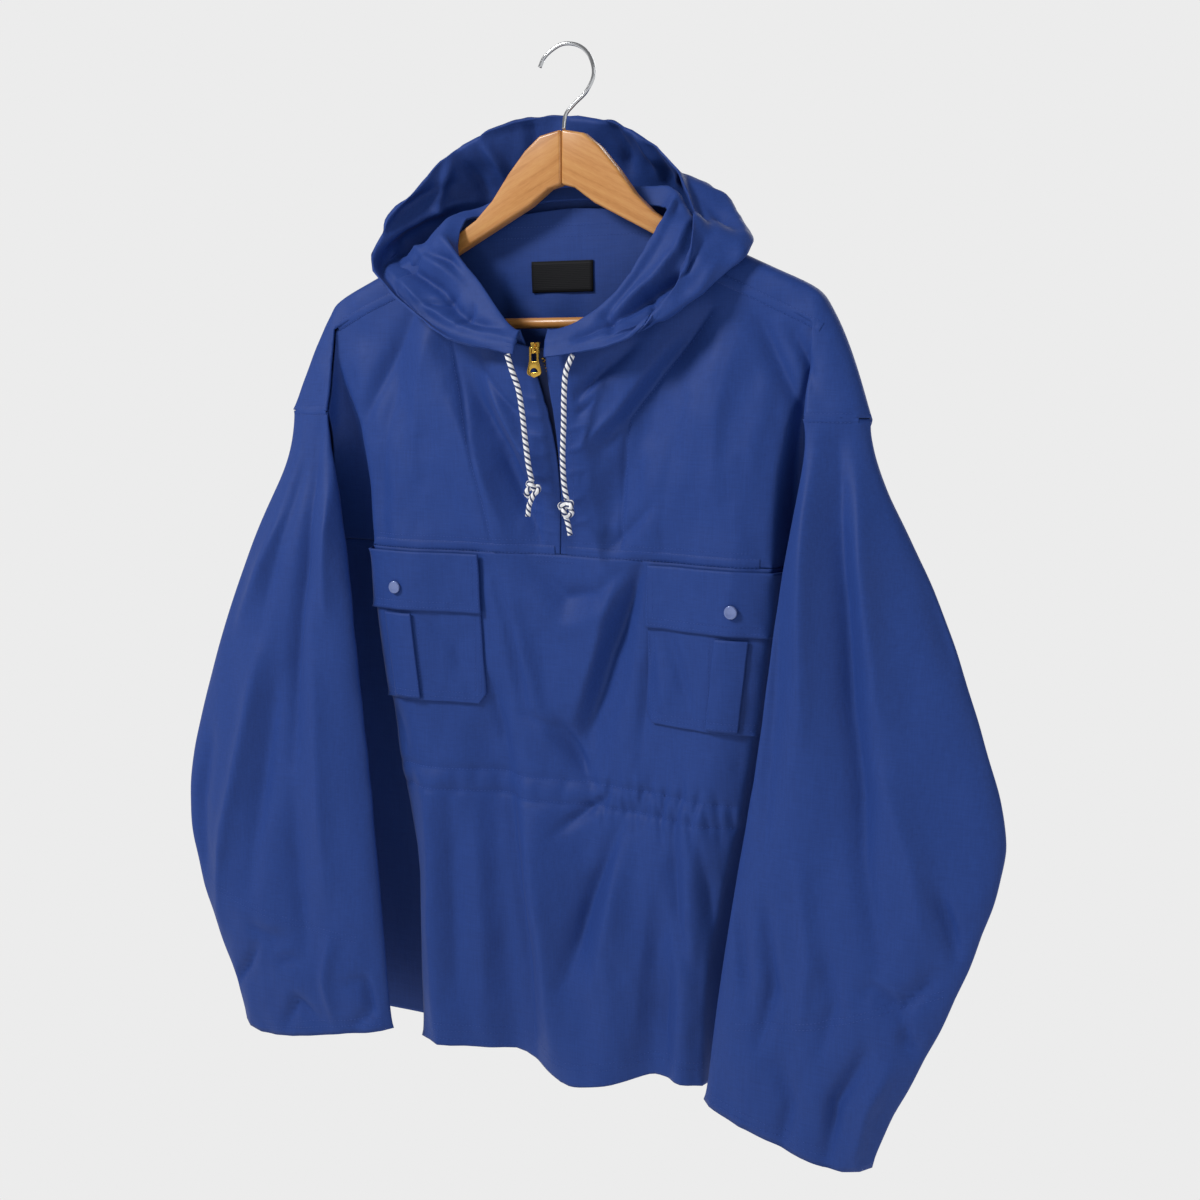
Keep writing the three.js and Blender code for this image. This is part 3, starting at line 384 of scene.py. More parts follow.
def cloth_copy(name, levels, longest=None):
    """A welded, subdivided copy of a cloth part, with its cut edges kept in place.

    Edges that are then still longer than the longest, in millimetres, are divided once more.
    """
    form = bmesh.new()
    form.from_mesh(nodes[name].data)
    crease = form.edges.layers.float.new("crease_edge")
    corner = form.verts.layers.float.new("crease_vert")
    bmesh.ops.remove_doubles(form, verts=form.verts, dist=0.01 * MM)
    bmesh.ops.join_triangles(
        form, faces=form.faces, angle_face_threshold=math.radians(50),
        angle_shape_threshold=math.radians(60),
    )
    # the cloth's cut edge is where its two faces are joined by a short edge
    short = [e for e in form.edges if e.calc_length() < 1.75 * MM]
    rim = {v for e in short for v in e.verts}
    kept = set()
    for face in form.faces:
        if all(v in rim for v in face.verts) and any(e in short for e in face.edges):
            kept.update(face.edges)
    for edge in kept:
        edge[crease] = 1.0
    # a corner of the cut stays where it is too
    for vert in rim:
        cuts = [e for e in vert.link_edges if e in kept and e not in short]
        runs = [e.other_vert(vert).co - vert.co for e in cuts]
        if len(runs) != 2 or runs[0].angle(runs[1]) < math.radians(140):
            vert[corner] = 1.0
    piece = piece_from(form, "cloth_" + name)
    modifier = piece.modifiers.new("smooth_cloth", "SUBSURF")
    modifier.levels = levels
    modifier.render_levels = levels
    bpy.context.view_layer.update()
    smoothed = piece.evaluated_get(bpy.context.evaluated_depsgraph_get())
    fine = bpy.data.meshes.new_from_object(smoothed)
    piece.modifiers.clear()
    piece.data = fine
    if longest:
        form = bmesh.new()
        form.from_mesh(fine)
        long = [e for e in form.edges if e.calc_length() > longest * MM]
        bmesh.ops.subdivide_edges(form, edges=long, cuts=1, use_grid_fill=True)
        form.to_mesh(fine)
        form.free()
    fine.shade_smooth()
    fine.set_sharp_from_angle(angle=math.radians(60))
    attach(piece, "anorak")
    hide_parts(name)
    return piece


def points_of(piece):
    """The piece's points as an array, in millimetres."""
    flat = np.empty(len(piece.data.vertices) * 3)
    piece.data.vertices.foreach_get("co", flat)
    return flat.reshape(-1, 3) / MM


def move_points(piece, points):
    piece.data.vertices.foreach_set("co", (points * MM).ravel())
    piece.data.update()


def crease_height(points, creases):
    """How far the creases raise each point; the points and lines have two or three columns."""
    height = np.zeros(len(points))
    for line, width, rise in creases:
        stops = [np.array(p, float) for p in line]
        lengths = [np.linalg.norm(b - a) for a, b in zip(stops, stops[1:])]
        total, done = sum(lengths), 0.0
        near = np.full(len(points), 1e9)
        place = np.zeros(len(points))
        for a, b, length in zip(stops, stops[1:], lengths):
            along = np.clip(((points - a) @ (b - a)) / length ** 2, 0, 1)
            away = np.linalg.norm(points - (a + along[:, None] * (b - a)), axis=1)
            closer = away < near
            near = np.where(closer, away, near)
            place = np.where(closer, (done + along * length) / total, place)
            done += length
        swell = 0.3 + 0.7 * np.sin(np.pi * np.clip(place, 0, 1)) ** 0.8
        height += CRISP * rise * swell * np.exp(-((near / width) ** 1.6))
    return height


def crumple(points, size, seed):
    """Small uneven swellings, from -1 to 1, with their width in x, y and z as the size."""
    shift = Vector((seed * 7.3, seed * 1.7, seed * 3.1))
    scaled = points / np.array(size)
    return np.array([noise.noise(Vector(p) + shift) for p in scaled])


# %% [markdown]
# The front's creases are listed from the shoulders down, each with its line across (x) and down
# (z) in millimetres, its half width and its height.

# %% Creases of the front
FRONT_CREASES = [
    # left chest, from the shoulder and neck towards the zip's lower end
    ([(-75, -246), (-40, -282), (-14, -308)], 6, -2.6),
    ([(-74, -279), (-41, -327), (-10, -384)], 9, -3.4),
    ([(-60, -262), (-28, -318), (-6, -350)], 6, 2.4),
    ([(-92, -290), (-62, -350), (-40, -404)], 9, 2.2),
    ([(-48, -330), (-24, -378), (-8, -408)], 6, -2.0),
    ([(-132, -206), (-160, -252), (-188, -306)], 9, -3.0),
    ([(-112, -214), (-128, -280), (-134, -360)], 12, 2.0),
    ([(-150, -250), (-162, -320), (-168, -400)], 10, -1.8),
    # the facing's seam on each side, a thin line from the neck to the chest seam
    ([(-97, -229), (-74, -322), (-52, -412)], 2.6, -1.1),
    ([(139, -214), (100, -262), (72, -300), (66, -352), (64, -412)], 2.6, -1.1),
    # right chest
    ([(135, -216), (91, -272), (35, -346)], 9, -3.6),
    ([(79, -241), (54, -262), (32, -280)], 6, -2.4),
    ([(110, -236), (66, -296), (30, -326)], 6, 2.6),
    ([(94, -370), (72, -392), (52, -408)], 6, -2.0),
    ([(60, -250), (42, -272), (26, -290)], 4, -1.6),
    ([(52, -280), (38, -292), (24, -300)], 4, -1.6),
    ([(176, -218), (198, -262), (214, -292)], 7, -3.0),
    ([(204, -229), (216, -250), (226, -274)], 6, -2.4),
    ([(160, -240), (150, -300), (146, -370)], 13, 2.2),
    ([(120, -290), (108, -350), (102, -408)], 12, -2.0),
    # sagging folds under the zip
    ([(-20, -424), (10, -452), (42, -446), (66, -424)], 8, -2.6),
    ([(-34, -440), (8, -478), (54, -462)], 10, 1.8),
    ([(84, -418), (70, -453), (49, -500), (27, -571)], 7, -4.2),
    ([(58, -440), (40, -500), (18, -560)], 8, 2.6),
    ([(-58, -424), (-40, -481), (-27, -556)], 5, -3.0),
    ([(-50, -450), (-22, -520), (-6, -580)], 8, 1.8),
    ([(-30, -556), (0, -568), (26, -600)], 6, -2.2),
    ([(2, -556), (18, -584), (30, -610)], 5, -2.6),
    ([(-62, -527), (-54, -566), (-44, -603)], 5, -2.2),
    ([(94, -479), (86, -530), (82, -584)], 7, -2.0),
    # pockets
    ([(108, -474), (120, -505), (132, -540)], 6, -1.6),
    ([(98, -480), (104, -520), (112, -546)], 7, 1.2),
    ([(-118, -478), (-94, -500), (-84, -530)], 8, -1.4),
    ([(-160, -556), (-150, -580), (-146, -606)], 6, -1.4),
    # below the waist
    ([(-49, -606), (-35, -674), (-20, -785), (-16, -868)], 9, -4.6),
    ([(-24, -640), (-4, -740), (8, -860)], 12, 3.2),
    ([(69, -632), (40, -711), (18, -790)], 9, -4.2),
    ([(51, -621), (26, -640), (4, -658)], 5, -2.6),
    ([(66, -650), (60, -720), (44, -800)], 10, 2.2),
    ([(115, -635), (122, -707), (133, -752)], 7, -3.2),
    ([(116, -760), (112, -810), (116, -860)], 8, -3.0),
    ([(140, -640), (150, -700), (156, -752)], 7, -2.4),
    ([(96, -660), (92, -740), (84, -820)], 12, 2.4),
    ([(-146, -617), (-142, -720), (-145, -846)], 12, -2.4),
    ([(-120, -630), (-118, -740), (-112, -862)], 10, 2.4),
    ([(-100, -639), (-96, -720), (-92, -820)], 9, -2.6),
    ([(-76, -640), (-66, -760), (-66, -862)], 12, 2.2),
    ([(150, -700), (160, -780), (164, -862)], 10, 2.2),
]
# small puckers where the placket is sewn: the place down the zip, and how long each is
LEFT_PUCKERS = [
    (-288, 22), (-302, 28), (-319, 18), (-333, 30), (-351, 24), (-364, 16), (-382, 26), (-398, 20),
]
RIGHT_PUCKERS = [(-296, 16), (-312, 24), (-329, 20), (-347, 26), (-371, 18), (-390, 22)]
for place, reach in LEFT_PUCKERS:
    FRONT_CREASES.append(([(4 - reach, place + 5), (8, place)], 3, 0.7))
for place, reach in RIGHT_PUCKERS:
    FRONT_CREASES.append(([(16, place), (16 + reach, place + 7)], 3, 0.6))
# the waist's gathers: across, how far they run up and down, how deep and how wide
WAIST = -621
WAIST_GATHERS = [
    (34, 22, 16, 1.0, 5), (44, 8, 26, 1.3, 4), (51, 17, 9, 1.5, 3), (60, 26, 20, 1.1, 4.5),
    (67, 9, 14, 1.5, 3), (76, 20, 30, 1.2, 4), (83, 14, 8, 1.6, 3), (90, 28, 18, 1.3, 4),
    (99, 10, 34, 1.4, 4), (105, 18, 12, 1.6, 3), (114, 8, 22, 1.2, 3.5), (121, 24, 12, 1.5, 3.5),
    (131, 12, 28, 1.3, 4), (137, 20, 8, 1.5, 3), (147, 10, 18, 1.2, 4), (156, 18, 24, 1.1, 4),
    (167, 9, 14, 1.0, 4), (-56, 8, 12, 0.7, 4), (-77, 14, 8, 0.8, 5), (-94, 7, 16, 0.7, 4),
    (-119, 12, 9, 0.8, 5), (-141, 8, 14, 0.7, 4), (10, 10, 8, 0.8, 4), (-12, 7, 12, 0.7, 4),
    (-33, 11, 8, 0.7, 4),
]


def gather(across, lean_up, lean_down, up, down, deep, wide):
    """One gather of the waist, which leans a little above and below it."""
    line = [(across + lean_up, WAIST + up), (across, WAIST), (across + lean_down, WAIST - down)]
    return line, wide, -deep


for across, up, down, deep, wide in WAIST_GATHERS:
    lean = 0.3 * (up - down)
    FRONT_CREASES.append(gather(across, lean, -lean, up, down, deep, wide))
# the channel of the waist's tape, pinched along its two rows of stitches and full between them
FRONT_CREASES += [
    ([(-220, -612), (0, -611), (220, -612)], 2.6, -0.7),
    ([(-220, -631), (0, -632), (220, -631)], 2.6, -0.8),
    ([(-220, WAIST), (0, WAIST), (220, WAIST)], 5, 0.5),
]
print("front creases:", len(FRONT_CREASES))

# %% Creases of the back
BACK_CREASES = [
    ([(-60, -170), (-96, -300), (-112, -430)], 14, 3.0),
    ([(66, -170), (104, -290), (116, -420)], 14, 3.0),
    ([(-20, -200), (-30, -330), (-24, -460)], 16, -2.2),
    ([(24, -220), (36, -360), (32, -520)], 14, -2.4),
    ([(-150, -240), (-170, -360), (-166, -500)], 12, -3.0),
    ([(158, -240), (176, -350), (170, -480)], 12, -3.0),
    ([(-190, -300), (-204, -420), (-200, -540)], 11, 2.4),
    ([(196, -300), (212, -410), (206, -560)], 11, 2.4),
    ([(-90, -500), (-70, -560), (-76, -612)], 8, -2.6),
    ([(84, -480), (92, -556), (80, -610)], 8, -2.6),
    ([(-40, -650), (-52, -740), (-46, -864)], 11, -3.4),
    ([(-104, -640), (-118, -750), (-112, -866)], 12, -3.2),
    ([(56, -640), (52, -760), (64, -866)], 11, -3.4),
    ([(140, -640), (150, -760), (146, -864)], 12, -3.0),
    ([(-196, -640), (-206, -760), (-210, -862)], 12, 2.6),
    ([(196, -640), (212, -750), (214, -860)], 12, 2.6),
]
for across, up, down, deep, wide in WAIST_GATHERS:
    BACK_CREASES.append(gather(across * 1.15 - 14, -4, 3, up, down, deep, wide))

# %% Press the creases into the body's panels
BODY_CLOTH = {
    "chest_left": (3, None), "chest_right": (3, None), "front_lower": (2, 4.4), "back": (2, 5),
    "pocket_left": (3, None), "pocket_right": (3, None),
    "pocket_strip_left": (3, None), "pocket_strip_right": (3, None),
    "flap_left": (3, None), "flap_right": (3, None),
}
# the slit of the zip bends as the chest does: how far down it is, and how far across
SLIT_DOWN = [240, 253, 269, 290, 326, 368, 415]
SLIT_ACROSS = [-3, 3, 8, 12, 12, 11, 7]
cloth = {}


def smooth_step(value):
    t = np.clip(value, 0, 1)
    return t * t * (3 - 2 * t)


for name, (levels, longest) in BODY_CLOTH.items():
    piece = cloth_copy(name, levels, longest)
    points = points_of(piece)
    flat = points[:, [0, 2]]
    # the creases die out towards the side seams, and where the front meets the back
    in_front = smooth_step((-6 - points[:, 1]) / 8)
    behind = smooth_step((points[:, 1] - 6) / 8)
    height = crease_height(flat, FRONT_CREASES) + 1.6 * crumple(points, (30, 400, 48), 1)
    height += 0.7 * crumple(points, (12, 400, 20), 5)
    # beside the zip the cloth is held by its tape, so it isn't pressed in there
    slit = np.interp(-points[:, 2], SLIT_DOWN, SLIT_ACROSS)
    held = smooth_step((22 - np.abs(points[:, 0] - slit)) / 8)
    held *= smooth_step((points[:, 2] + 424) / 8)
    height += held * (np.maximum(height, 0.0) - height)
    points[:, 1] -= height * in_front
    if name == "back":
        rear = 1.3 * crease_height(flat, BACK_CREASES) + 1.9 * crumple(points, (34, 400, 56), 2)
        rear += 0.8 * crumple(points, (14, 400, 22), 6)
        near_hanger = smooth_step((-150 - points[:, 2]) / 60)
        points[:, 1] += rear * behind * near_hanger
    move_points(piece, points)
    cloth[name] = piece
for name, piece in cloth.items():
    print(name, len(piece.data.polygons), "faces")

# %% [markdown]
# ## Sleeves
# The empty sleeves hang in front of the sides, flattened from front to back. The front layer of
# each takes its own creases, and the back layer similar ones, so a line halfway between the layers
# decides which way a crease pushes.

# %% Creases of the sleeves
SLEEVE_FRONT = {
    "left": [
        ([(-203, -300), (-206, -380), (-204, -470)], 7, 2.8),
        ([(-228, -307), (-230, -434), (-240, -526), (-241, -616)], 9, -3.8),
        ([(-263, -397), (-286, -450), (-308, -492)], 9, 2.6),
        ([(-240, -340), (-262, -420), (-280, -500)], 9, -2.0),
        ([(-278, -520), (-300, -623), (-319, -714), (-325, -771)], 9, 2.8),
        ([(-262, -540), (-276, -640), (-286, -740)], 10, -2.6),
        ([(-216, -520), (-212, -620), (-204, -730)], 10, 2.2),
        ([(-336, -600), (-346, -660), (-340, -720)], 9, -2.2),
        ([(-240, -640), (-236, -720), (-226, -790)], 9, -2.0),
        ([(-276, -786), (-292, -812), (-312, -836)], 5, -2.4),
        ([(-256, -801), (-244, -797), (-232, -798)], 4, -1.8),
        ([(-250, -862), (-236, -836), (-216, -850)], 5, -2.2),
        ([(-187, -814), (-168, -808), (-161, -836), (-184, -858)], 5, -2.2),
        ([(-200, -770), (-206, -810), (-198, -850)], 6, 2.0),
        ([(-288, -770), (-262, -780), (-240, -776)], 5, -1.6),
    ],
    "right": [
        ([(246, -300), (256, -372), (266, -437), (273, -511), (284, -576), (288, -627), (306, -702)],
         10, -4.4),
        ([(264, -340), (280, -430), (296, -520)], 10, 2.6),
        ([(226, -330), (232, -430), (236, -540)], 9, 2.4),
        ([(214, -420), (212, -520), (206, -640)], 9, -2.2),
        ([(322, -396), (336, -440), (347, -478)], 8, -2.2),
        ([(300, -560), (326, -620), (338, -680)], 10, 2.2),
        ([(344, -640), (356, -668), (362, -690)], 5, -2.4),
        ([(294, -728), (302, -722), (322, -734), (348, -704)], 6, -2.6),
        ([(325, -742), (328, -760), (340, -768)], 5, -2.2),
        ([(300, -771), (276, -819), (269, -870)], 7, -3.2),
        ([(318, -780), (300, -820), (290, -866)], 7, 2.2),
        ([(213, -674), (221, -740), (210, -790)], 6, -2.6),
        ([(186, -684), (194, -720), (200, -756)], 6, -2.2),
        ([(240, -640), (250, -710), (244, -772)], 9, 2.2),
        ([(230, -800), (238, -830), (232, -864)], 6, -2.0),
        ([(262, -700), (272, -740), (262, -782)], 6, -1.8),
    ],
}
SLEEVE_BACK = [
    ([(224, -330), (236, -430), (246, -540)], 11, -3.0),
    ([(262, -350), (282, -450), (304, -560)], 12, 3.0),
    ([(296, -420), (322, -510), (346, -590)], 11, -2.4),
    ([(210, -460), (206, -560), (198, -660)], 11, 2.4),
    ([(330, -600), (322, -680), (300, -760)], 11, -2.8),
    ([(270, -600), (276, -690), (262, -770)], 12, 2.6),
    ([(226, -620), (224, -710), (212, -790)], 10, -2.6),
    ([(250, -780), (262, -820), (256, -866)], 7, -2.4),
    ([(196, -770), (204, -810), (200, -850)], 7, 2.0),
]
# halfway between the layers: the height, then the inner edge's x and y and the outer edge's
SLEEVE_MIDDLE = [
    (-300, 222, -29, 275, -18), (-391, 214, -49, 317, -34), (-502, 202, -56, 361, -46),
    (-604, 188, -57, 398, -56), (-700, 175, -61, 374, -74), (-800, 164, -65, 331, -79),
    (-900, 158, -66, 293, -76),
]

for side, sign in (("left", -1), ("right", 1)):
    piece = cloth_copy(f"sleeve_{side}", 3)
    points = points_of(piece)
    x, y, z = points.T
    rows = np.array(SLEEVE_MIDDLE)[::-1].T
    in_x, in_y, out_x, out_y = [np.interp(z, rows[0], column) for column in rows[1:]]
    across = np.clip((np.abs(x) - in_x) / (out_x - in_x), 0, 1)
    middle = in_y + across * (out_y - in_y)
    front_share = smooth_step((middle - y) / 9)
    back_share = smooth_step((y - middle) / 9)
    flat = points[:, [0, 2]]
    mirrored = [([(sign * u, v) for u, v in line], width, rise) for line, width, rise in SLEEVE_BACK]
    front = 1.25 * crease_height(flat, SLEEVE_FRONT[side])
    front += 1.9 * crumple(points, (32, 400, 60), 3 + sign)
    # the cloth is more rumpled towards the cuffs
    rumpled = 0.3 + 0.9 * smooth_step((-600 - z) / 160)
    front += rumpled * crumple(points, (15, 400, 22), 9 + sign)
    rear = 1.2 * crease_height(flat, mirrored) + 1.8 * crumple(points, (30, 400, 52), 7 + sign)
    rear += rumpled * crumple(points, (15, 400, 22), 12 + sign)
    low_enough = smooth_step((-296 - z) / 24)
    points[:, 1] += (rear * back_share - front * front_share) * low_enough
    move_points(piece, points)
    cloth[f"sleeve_{side}"] = piece
print("sleeves pressed")

# %% [markdown]
# ## Hood
# The hood is one deep piece that falls over itself: up from the neck seam to a ridge, down into
# the bag behind, and up again to its rim. Its creases run in space. Where the photograph shows a
# fold, its stops are points traced on the photograph, across and down its 1200 points. The
# camera stands where the photographer's did, so a ray from it through a point meets the solid cloth
# where the fold is. A stop with three numbers is a place in millimetres instead, for what is hidden
# or was drawn in to fit.

# %% Creases of the hood
HOOD_CREASES = [
    # left of the zip: the rolled rim, the trough inside it and the soft folds behind
    ([(380, 262), (400, 282), (425, 305), (450, 322), (480, 333), (510, 338)], 6, 2.2),
    ([(392, 255), (418, 275), (440, 290), (455, 310), (470, 322), (500, 328)], 4.5, -3.4),
    ([(405, 240), (425, 255), (445, 268), (470, 290), (478, 305)], 5, 2.6),
    ([(-140, -16, -156), (-110, -26, -166), (-93, -30, -170), (-72, -32, -184), (-50, -40, -206)],
     4.5, -3.2),
    ([(-107, -22, -148), (-90, -26, -160), (-70, -28, -176)], 4.5, 2.6),
    ([(-118, -34, -206), (-96, -40, -206), (-84, -40, -200)], 3.5, -2.2),
    ([(-76, -46, -226), (-66, -46, -214), (-64, -42, -204)], 3.5, -2.0),
    ([(-150, -24, -184), (-140, -20, -172), (-128, -20, -164)], 3.5, -2.0),
    # inside the hood on the left
    ([(370, 252), (390, 235), (420, 215), (445, 205), (480, 200)], 6, -3.6),
    ([(-170, -4, -136), (-150, 24, -110), (-130, 40, -98)], 6, 2.6),
    ([(450, 165), (440, 190), (432, 205), (440, 212)], 5, -3.4),
    ([(480, 140), (500, 165), (-86, 60, -100)], 5, -3.2),
    ([(-120, 44, -80), (-110, 52, -96), (-104, 58, -112)], 5, 2.6),
    ([(-60, 52, -50), (-58, 60, -74), (-70, 64, -96)], 6, 2.2),
    # inside, above and behind the hanger
    ([(-30, 58, -50), (-22, 64, -76), (-28, 66, -100)], 6, -2.4),
    ([(20, 58, -50), (30, 64, -76), (26, 66, -100)], 6, 2.4),
    ([(50, 54, -52), (62, 60, -78), (58, 64, -104)], 6, -2.6),
    ([(84, 44, -70), (88, 46, -92), (76, 64, -106)], 5, -2.6),
    # right of the zip
    ([(715, 265), (700, 290), (680, 305), (650, 320), (620, 335), (40, -57, -240)], 6, 2.2),
    ([(705, 235), (690, 260), (660, 290), (630, 310), (605, 325), (36, -54, -236)], 4.5, -3.6),
    ([(116, -8, -140), (112, -26, -168), (92, -36, -192), (70, -42, -210)], 5, 2.8),
    ([(680, 200), (660, 240), (630, 285), (600, 320)], 4.5, -3.2),
    ([(92, 4, -128), (84, -20, -160), (66, -36, -194)], 4.5, 2.0),
    ([(104, -48, -222), (98, -38, -208), (90, -36, -200)], 3.5, -2.0),
    ([(70, -52, -236), (66, -48, -226), (58, -44, -216)], 3.5, -2.0),
    # outside, over the right shoulder
    ([(690, 180), (720, 215), (745, 240)], 7, -3.0),
    ([(112, 34, -106), (730, 200), (742, 230), (740, 262)], 6, 2.8),
    ([(90, 40, -96), (120, 10, -132), (140, -20, -160)], 5, -2.4),
    # the bag behind
    ([(-60, 74, -150), (-72, 82, -210), (-60, 84, -270)], 12, -2.6),
    ([(0, 84, -150), (12, 86, -210), (4, 84, -280)], 14, 2.6),
    ([(56, 72, -150), (64, 80, -210), (54, 82, -262)], 12, -2.6),
    ([(-110, 56, -150), (-120, 62, -190), (-112, 62, -220)], 10, 2.2),
    ([(104, 46, -140), (112, 56, -180), (104, 60, -216)], 10, -2.2),
]


def search_tree(meshes):
    """One search tree of several meshes."""
    verts, faces = [], []
    for mesh in meshes:
        start = len(verts)
        verts.extend(v.co.copy() for v in mesh.vertices)
        faces.extend([start + i for i in p.vertices] for p in mesh.polygons)
    return BVHTree.FromPolygons(verts, faces)


PHOTO_SIDE = 1200
IN_VIEW = [
    "hood", "chest_left", "chest_right", "front_lower", "back", "sleeve_left", "sleeve_right",
    "hanger_arm_left", "hanger_arm_right", "hanger_bar", "hanger_hook",
]
hood = cloth_copy("hood", 3)
points = points_of(hood)
hood_tree = search_tree([hood.data])
solid_tree = search_tree([nodes[name].data for name in IN_VIEW])
focal = camera_data.lens / camera_data.sensor_width * PHOTO_SIDE


def place_of(stop):
    """The place of a crease's stop, in millimetres."""
    if len(stop) == 3:
        return Vector(stop)
    across, down = stop
    middle = PHOTO_SIDE / 2
    way = Vector(((across - middle) / focal, (middle - down) / focal, -1)).normalized()
    way.rotate(camera.rotation_euler)
    return solid_tree.ray_cast(camera.location, way)[0] / MM


def laid_on_hood(line):
    """The line with a stop every few millimetres, each moved onto the nearest cloth."""
    places = [place_of(stop) for stop in line]
    stops = [a.lerp(b, k / 4) for a, b in zip(places, places[1:]) for k in range(4)]
    stops.append(places[-1])
    return [tuple(c / MM for c in hood_tree.find_nearest(p * MM)[0]) for p in stops]


laid = [(laid_on_hood(line), width, rise) for line, width, rise in HOOD_CREASES]
# away from the middle of the hood's own oval, along the way that the cloth faces
outward = (points - np.array([0, 10, -165])) / np.array([170, 60, 100]) ** 2
outward /= np.linalg.norm(outward, axis=1)[:, None]
facing = np.empty(len(points) * 3)
hood.data.vertices.foreach_get("normal", facing)
facing = facing.reshape(-1, 3)
facing *= (1.25 * (facing * outward).sum(axis=1))[:, None]
height = crease_height(points, laid) + 2.4 * crumple(points, (30, 30, 30), 11)
height += 1.1 * crumple(points, (13, 13, 18), 13)
# the neck seam stays where it is sewn
from_seam = np.sqrt((points[:, 0] / 92) ** 2 + ((points[:, 1] + 14) / 30) ** 2)
points += facing * (height * smooth_step((from_seam - 1.0) / 0.25))[:, None]
move_points(hood, points)
cloth["hood"] = hood
print("hood faces:", len(hood.data.polygons))

# %% [markdown]
# ## Cotton poplin
# The cloth is a fine, close plain weave of cotton, dyed through and a little crisp. To the eye it is
# an even mid blue with the faintest slubs along both threads, and a low sheen on the shoulders.
# Threads 0.3 mm apart are far too fine for this picture, so the slubs are drawn 0.9 mm wide.

# %% Cotton poplin material
SLUB = 0.9 * MM
LONG_SLUB = 0.04 / SLUB
THROUGH = 0.5 / SLUB


def poplin(name, light, dark):
    material, shader = new_material(
        name, light, 0.62, Sheen_Weight=0.03, Sheen_Roughness=0.4, Specular_IOR_Level=0.22,
    )
    place = add_node(material, "ShaderNodeTexCoord").outputs["Object"]
    slubs = []
    # the weft's slubs are drawn out across the garment and the warp's down it
    for scale in ((LONG_SLUB, THROUGH, 1 / SLUB), (1 / SLUB, THROUGH, LONG_SLUB)):
        drawn = add_node(material, "ShaderNodeMapping", Vector=place, Scale=scale)
        slubs.append(add_node(
            material, "ShaderNodeTexNoise", Vector=drawn.outputs[0], Scale=1.0, Detail=2.0,
        ))
    both = add_node(
        material, "ShaderNodeMath", {"operation": "ADD"},
        _0=slubs[0].outputs["Fac"], _1=slubs[1].outputs["Fac"],
    )
    half = add_node(material, "ShaderNodeMath", {"operation": "MULTIPLY"}, _0=both.outputs[0], _1=0.5)
    colour = add_node(
        material, "ShaderNodeValToRGB", Fac=half.outputs[0], stops=[(0.3, dark), (0.7, light)],
    )
    join(material, colour.outputs["Color"], shader, "Base Color")
    # soft dents that handling leaves, about 20 mm across, and a finer grain over them
    dents = add_node(
        material, "ShaderNodeTexNoise", Vector=place, Scale=42.0, Detail=4.0, Roughness=0.55,
    )
    dent_bump = add_node(
        material, "ShaderNodeBump", Height=dents.outputs["Fac"], Strength=0.35, Distance=2.0 * MM,
    )
    grain_bump = add_node(
        material, "ShaderNodeBump", Height=half.outputs[0], Strength=0.3, Distance=0.25 * MM,
        Normal=dent_bump.outputs["Normal"],
    )
    join(material, grain_bump.outputs["Normal"], shader, "Normal")
    return material


body_poplin = poplin("blue_cotton_poplin", "234187", "1E397A")
for piece in cloth.values():
    place_on(piece, body_poplin)

# %% [markdown]

# %% [markdown]
# ## Stitching
# Every seam is topstitched with a strong thread of the cloth's own blue, two rows 6 mm apart on
# the pockets and seams. One short stitch is made once and copied along each line, laid on the cloth
# wherever a ray from outside meets it, so the thread follows each fold.

# %% Sewing helper
STITCH = {"long": 2.1 * MM, "thick": 0.42 * MM, "pitch": 3.1 * MM, "above": 0.08 * MM}
# a row is broken where its next stitch would be further away than this many pitches
LONGEST_STEP = 3.5


OUTSIDE = 0.3  # metres, where the rays towards the cloth start


def even_steps(line, pitch):
    """Points along a line of points in millimetres, one for each pitch, in metres."""
    stops = [Vector(p) * MM for p in line]
    steps = []
    carry = 0.0
    for a, b in zip(stops, stops[1:]):
        length = (b - a).length
        at = carry
        while at < length:
            steps.append(a.lerp(b, at / length))
            at += pitch
        carry = at - length
    return steps


def stitch_places(tree, line, towards):
    """Where each stitch along a line of (x, z) lies, on the surface that a ray meets."""
    laid = []
    for point in even_steps([(x, 0, z) for x, z in line], STITCH["pitch"]):
        start = Vector((point.x, -OUTSIDE * towards, point.z))
        hit, normal, _, _ = tree.ray_cast(start, Vector((0, towards, 0)))
        laid.append(None if hit is None else (hit, normal))
    places = []
    for before, here, after in zip(laid, laid[1:], laid[2:]):
        if before is None or here is None or after is None:
            continue
        run = after[0] - before[0]
        if run.length < 1e-5 or run.length > LONGEST_STEP * STITCH["pitch"]:
            continue
        along = run.normalized()
        out = (here[1] - along * here[1].dot(along)).normalized()
        turn = Matrix((along, -along.cross(out), out)).transposed().to_4x4()
        size = Matrix.Diagonal((STITCH["long"] / 2, STITCH["thick"] / 2, STITCH["thick"] / 2, 1))
        places.append(Matrix.Translation(here[0] + out * STITCH["above"]) @ turn @ size)
    return places


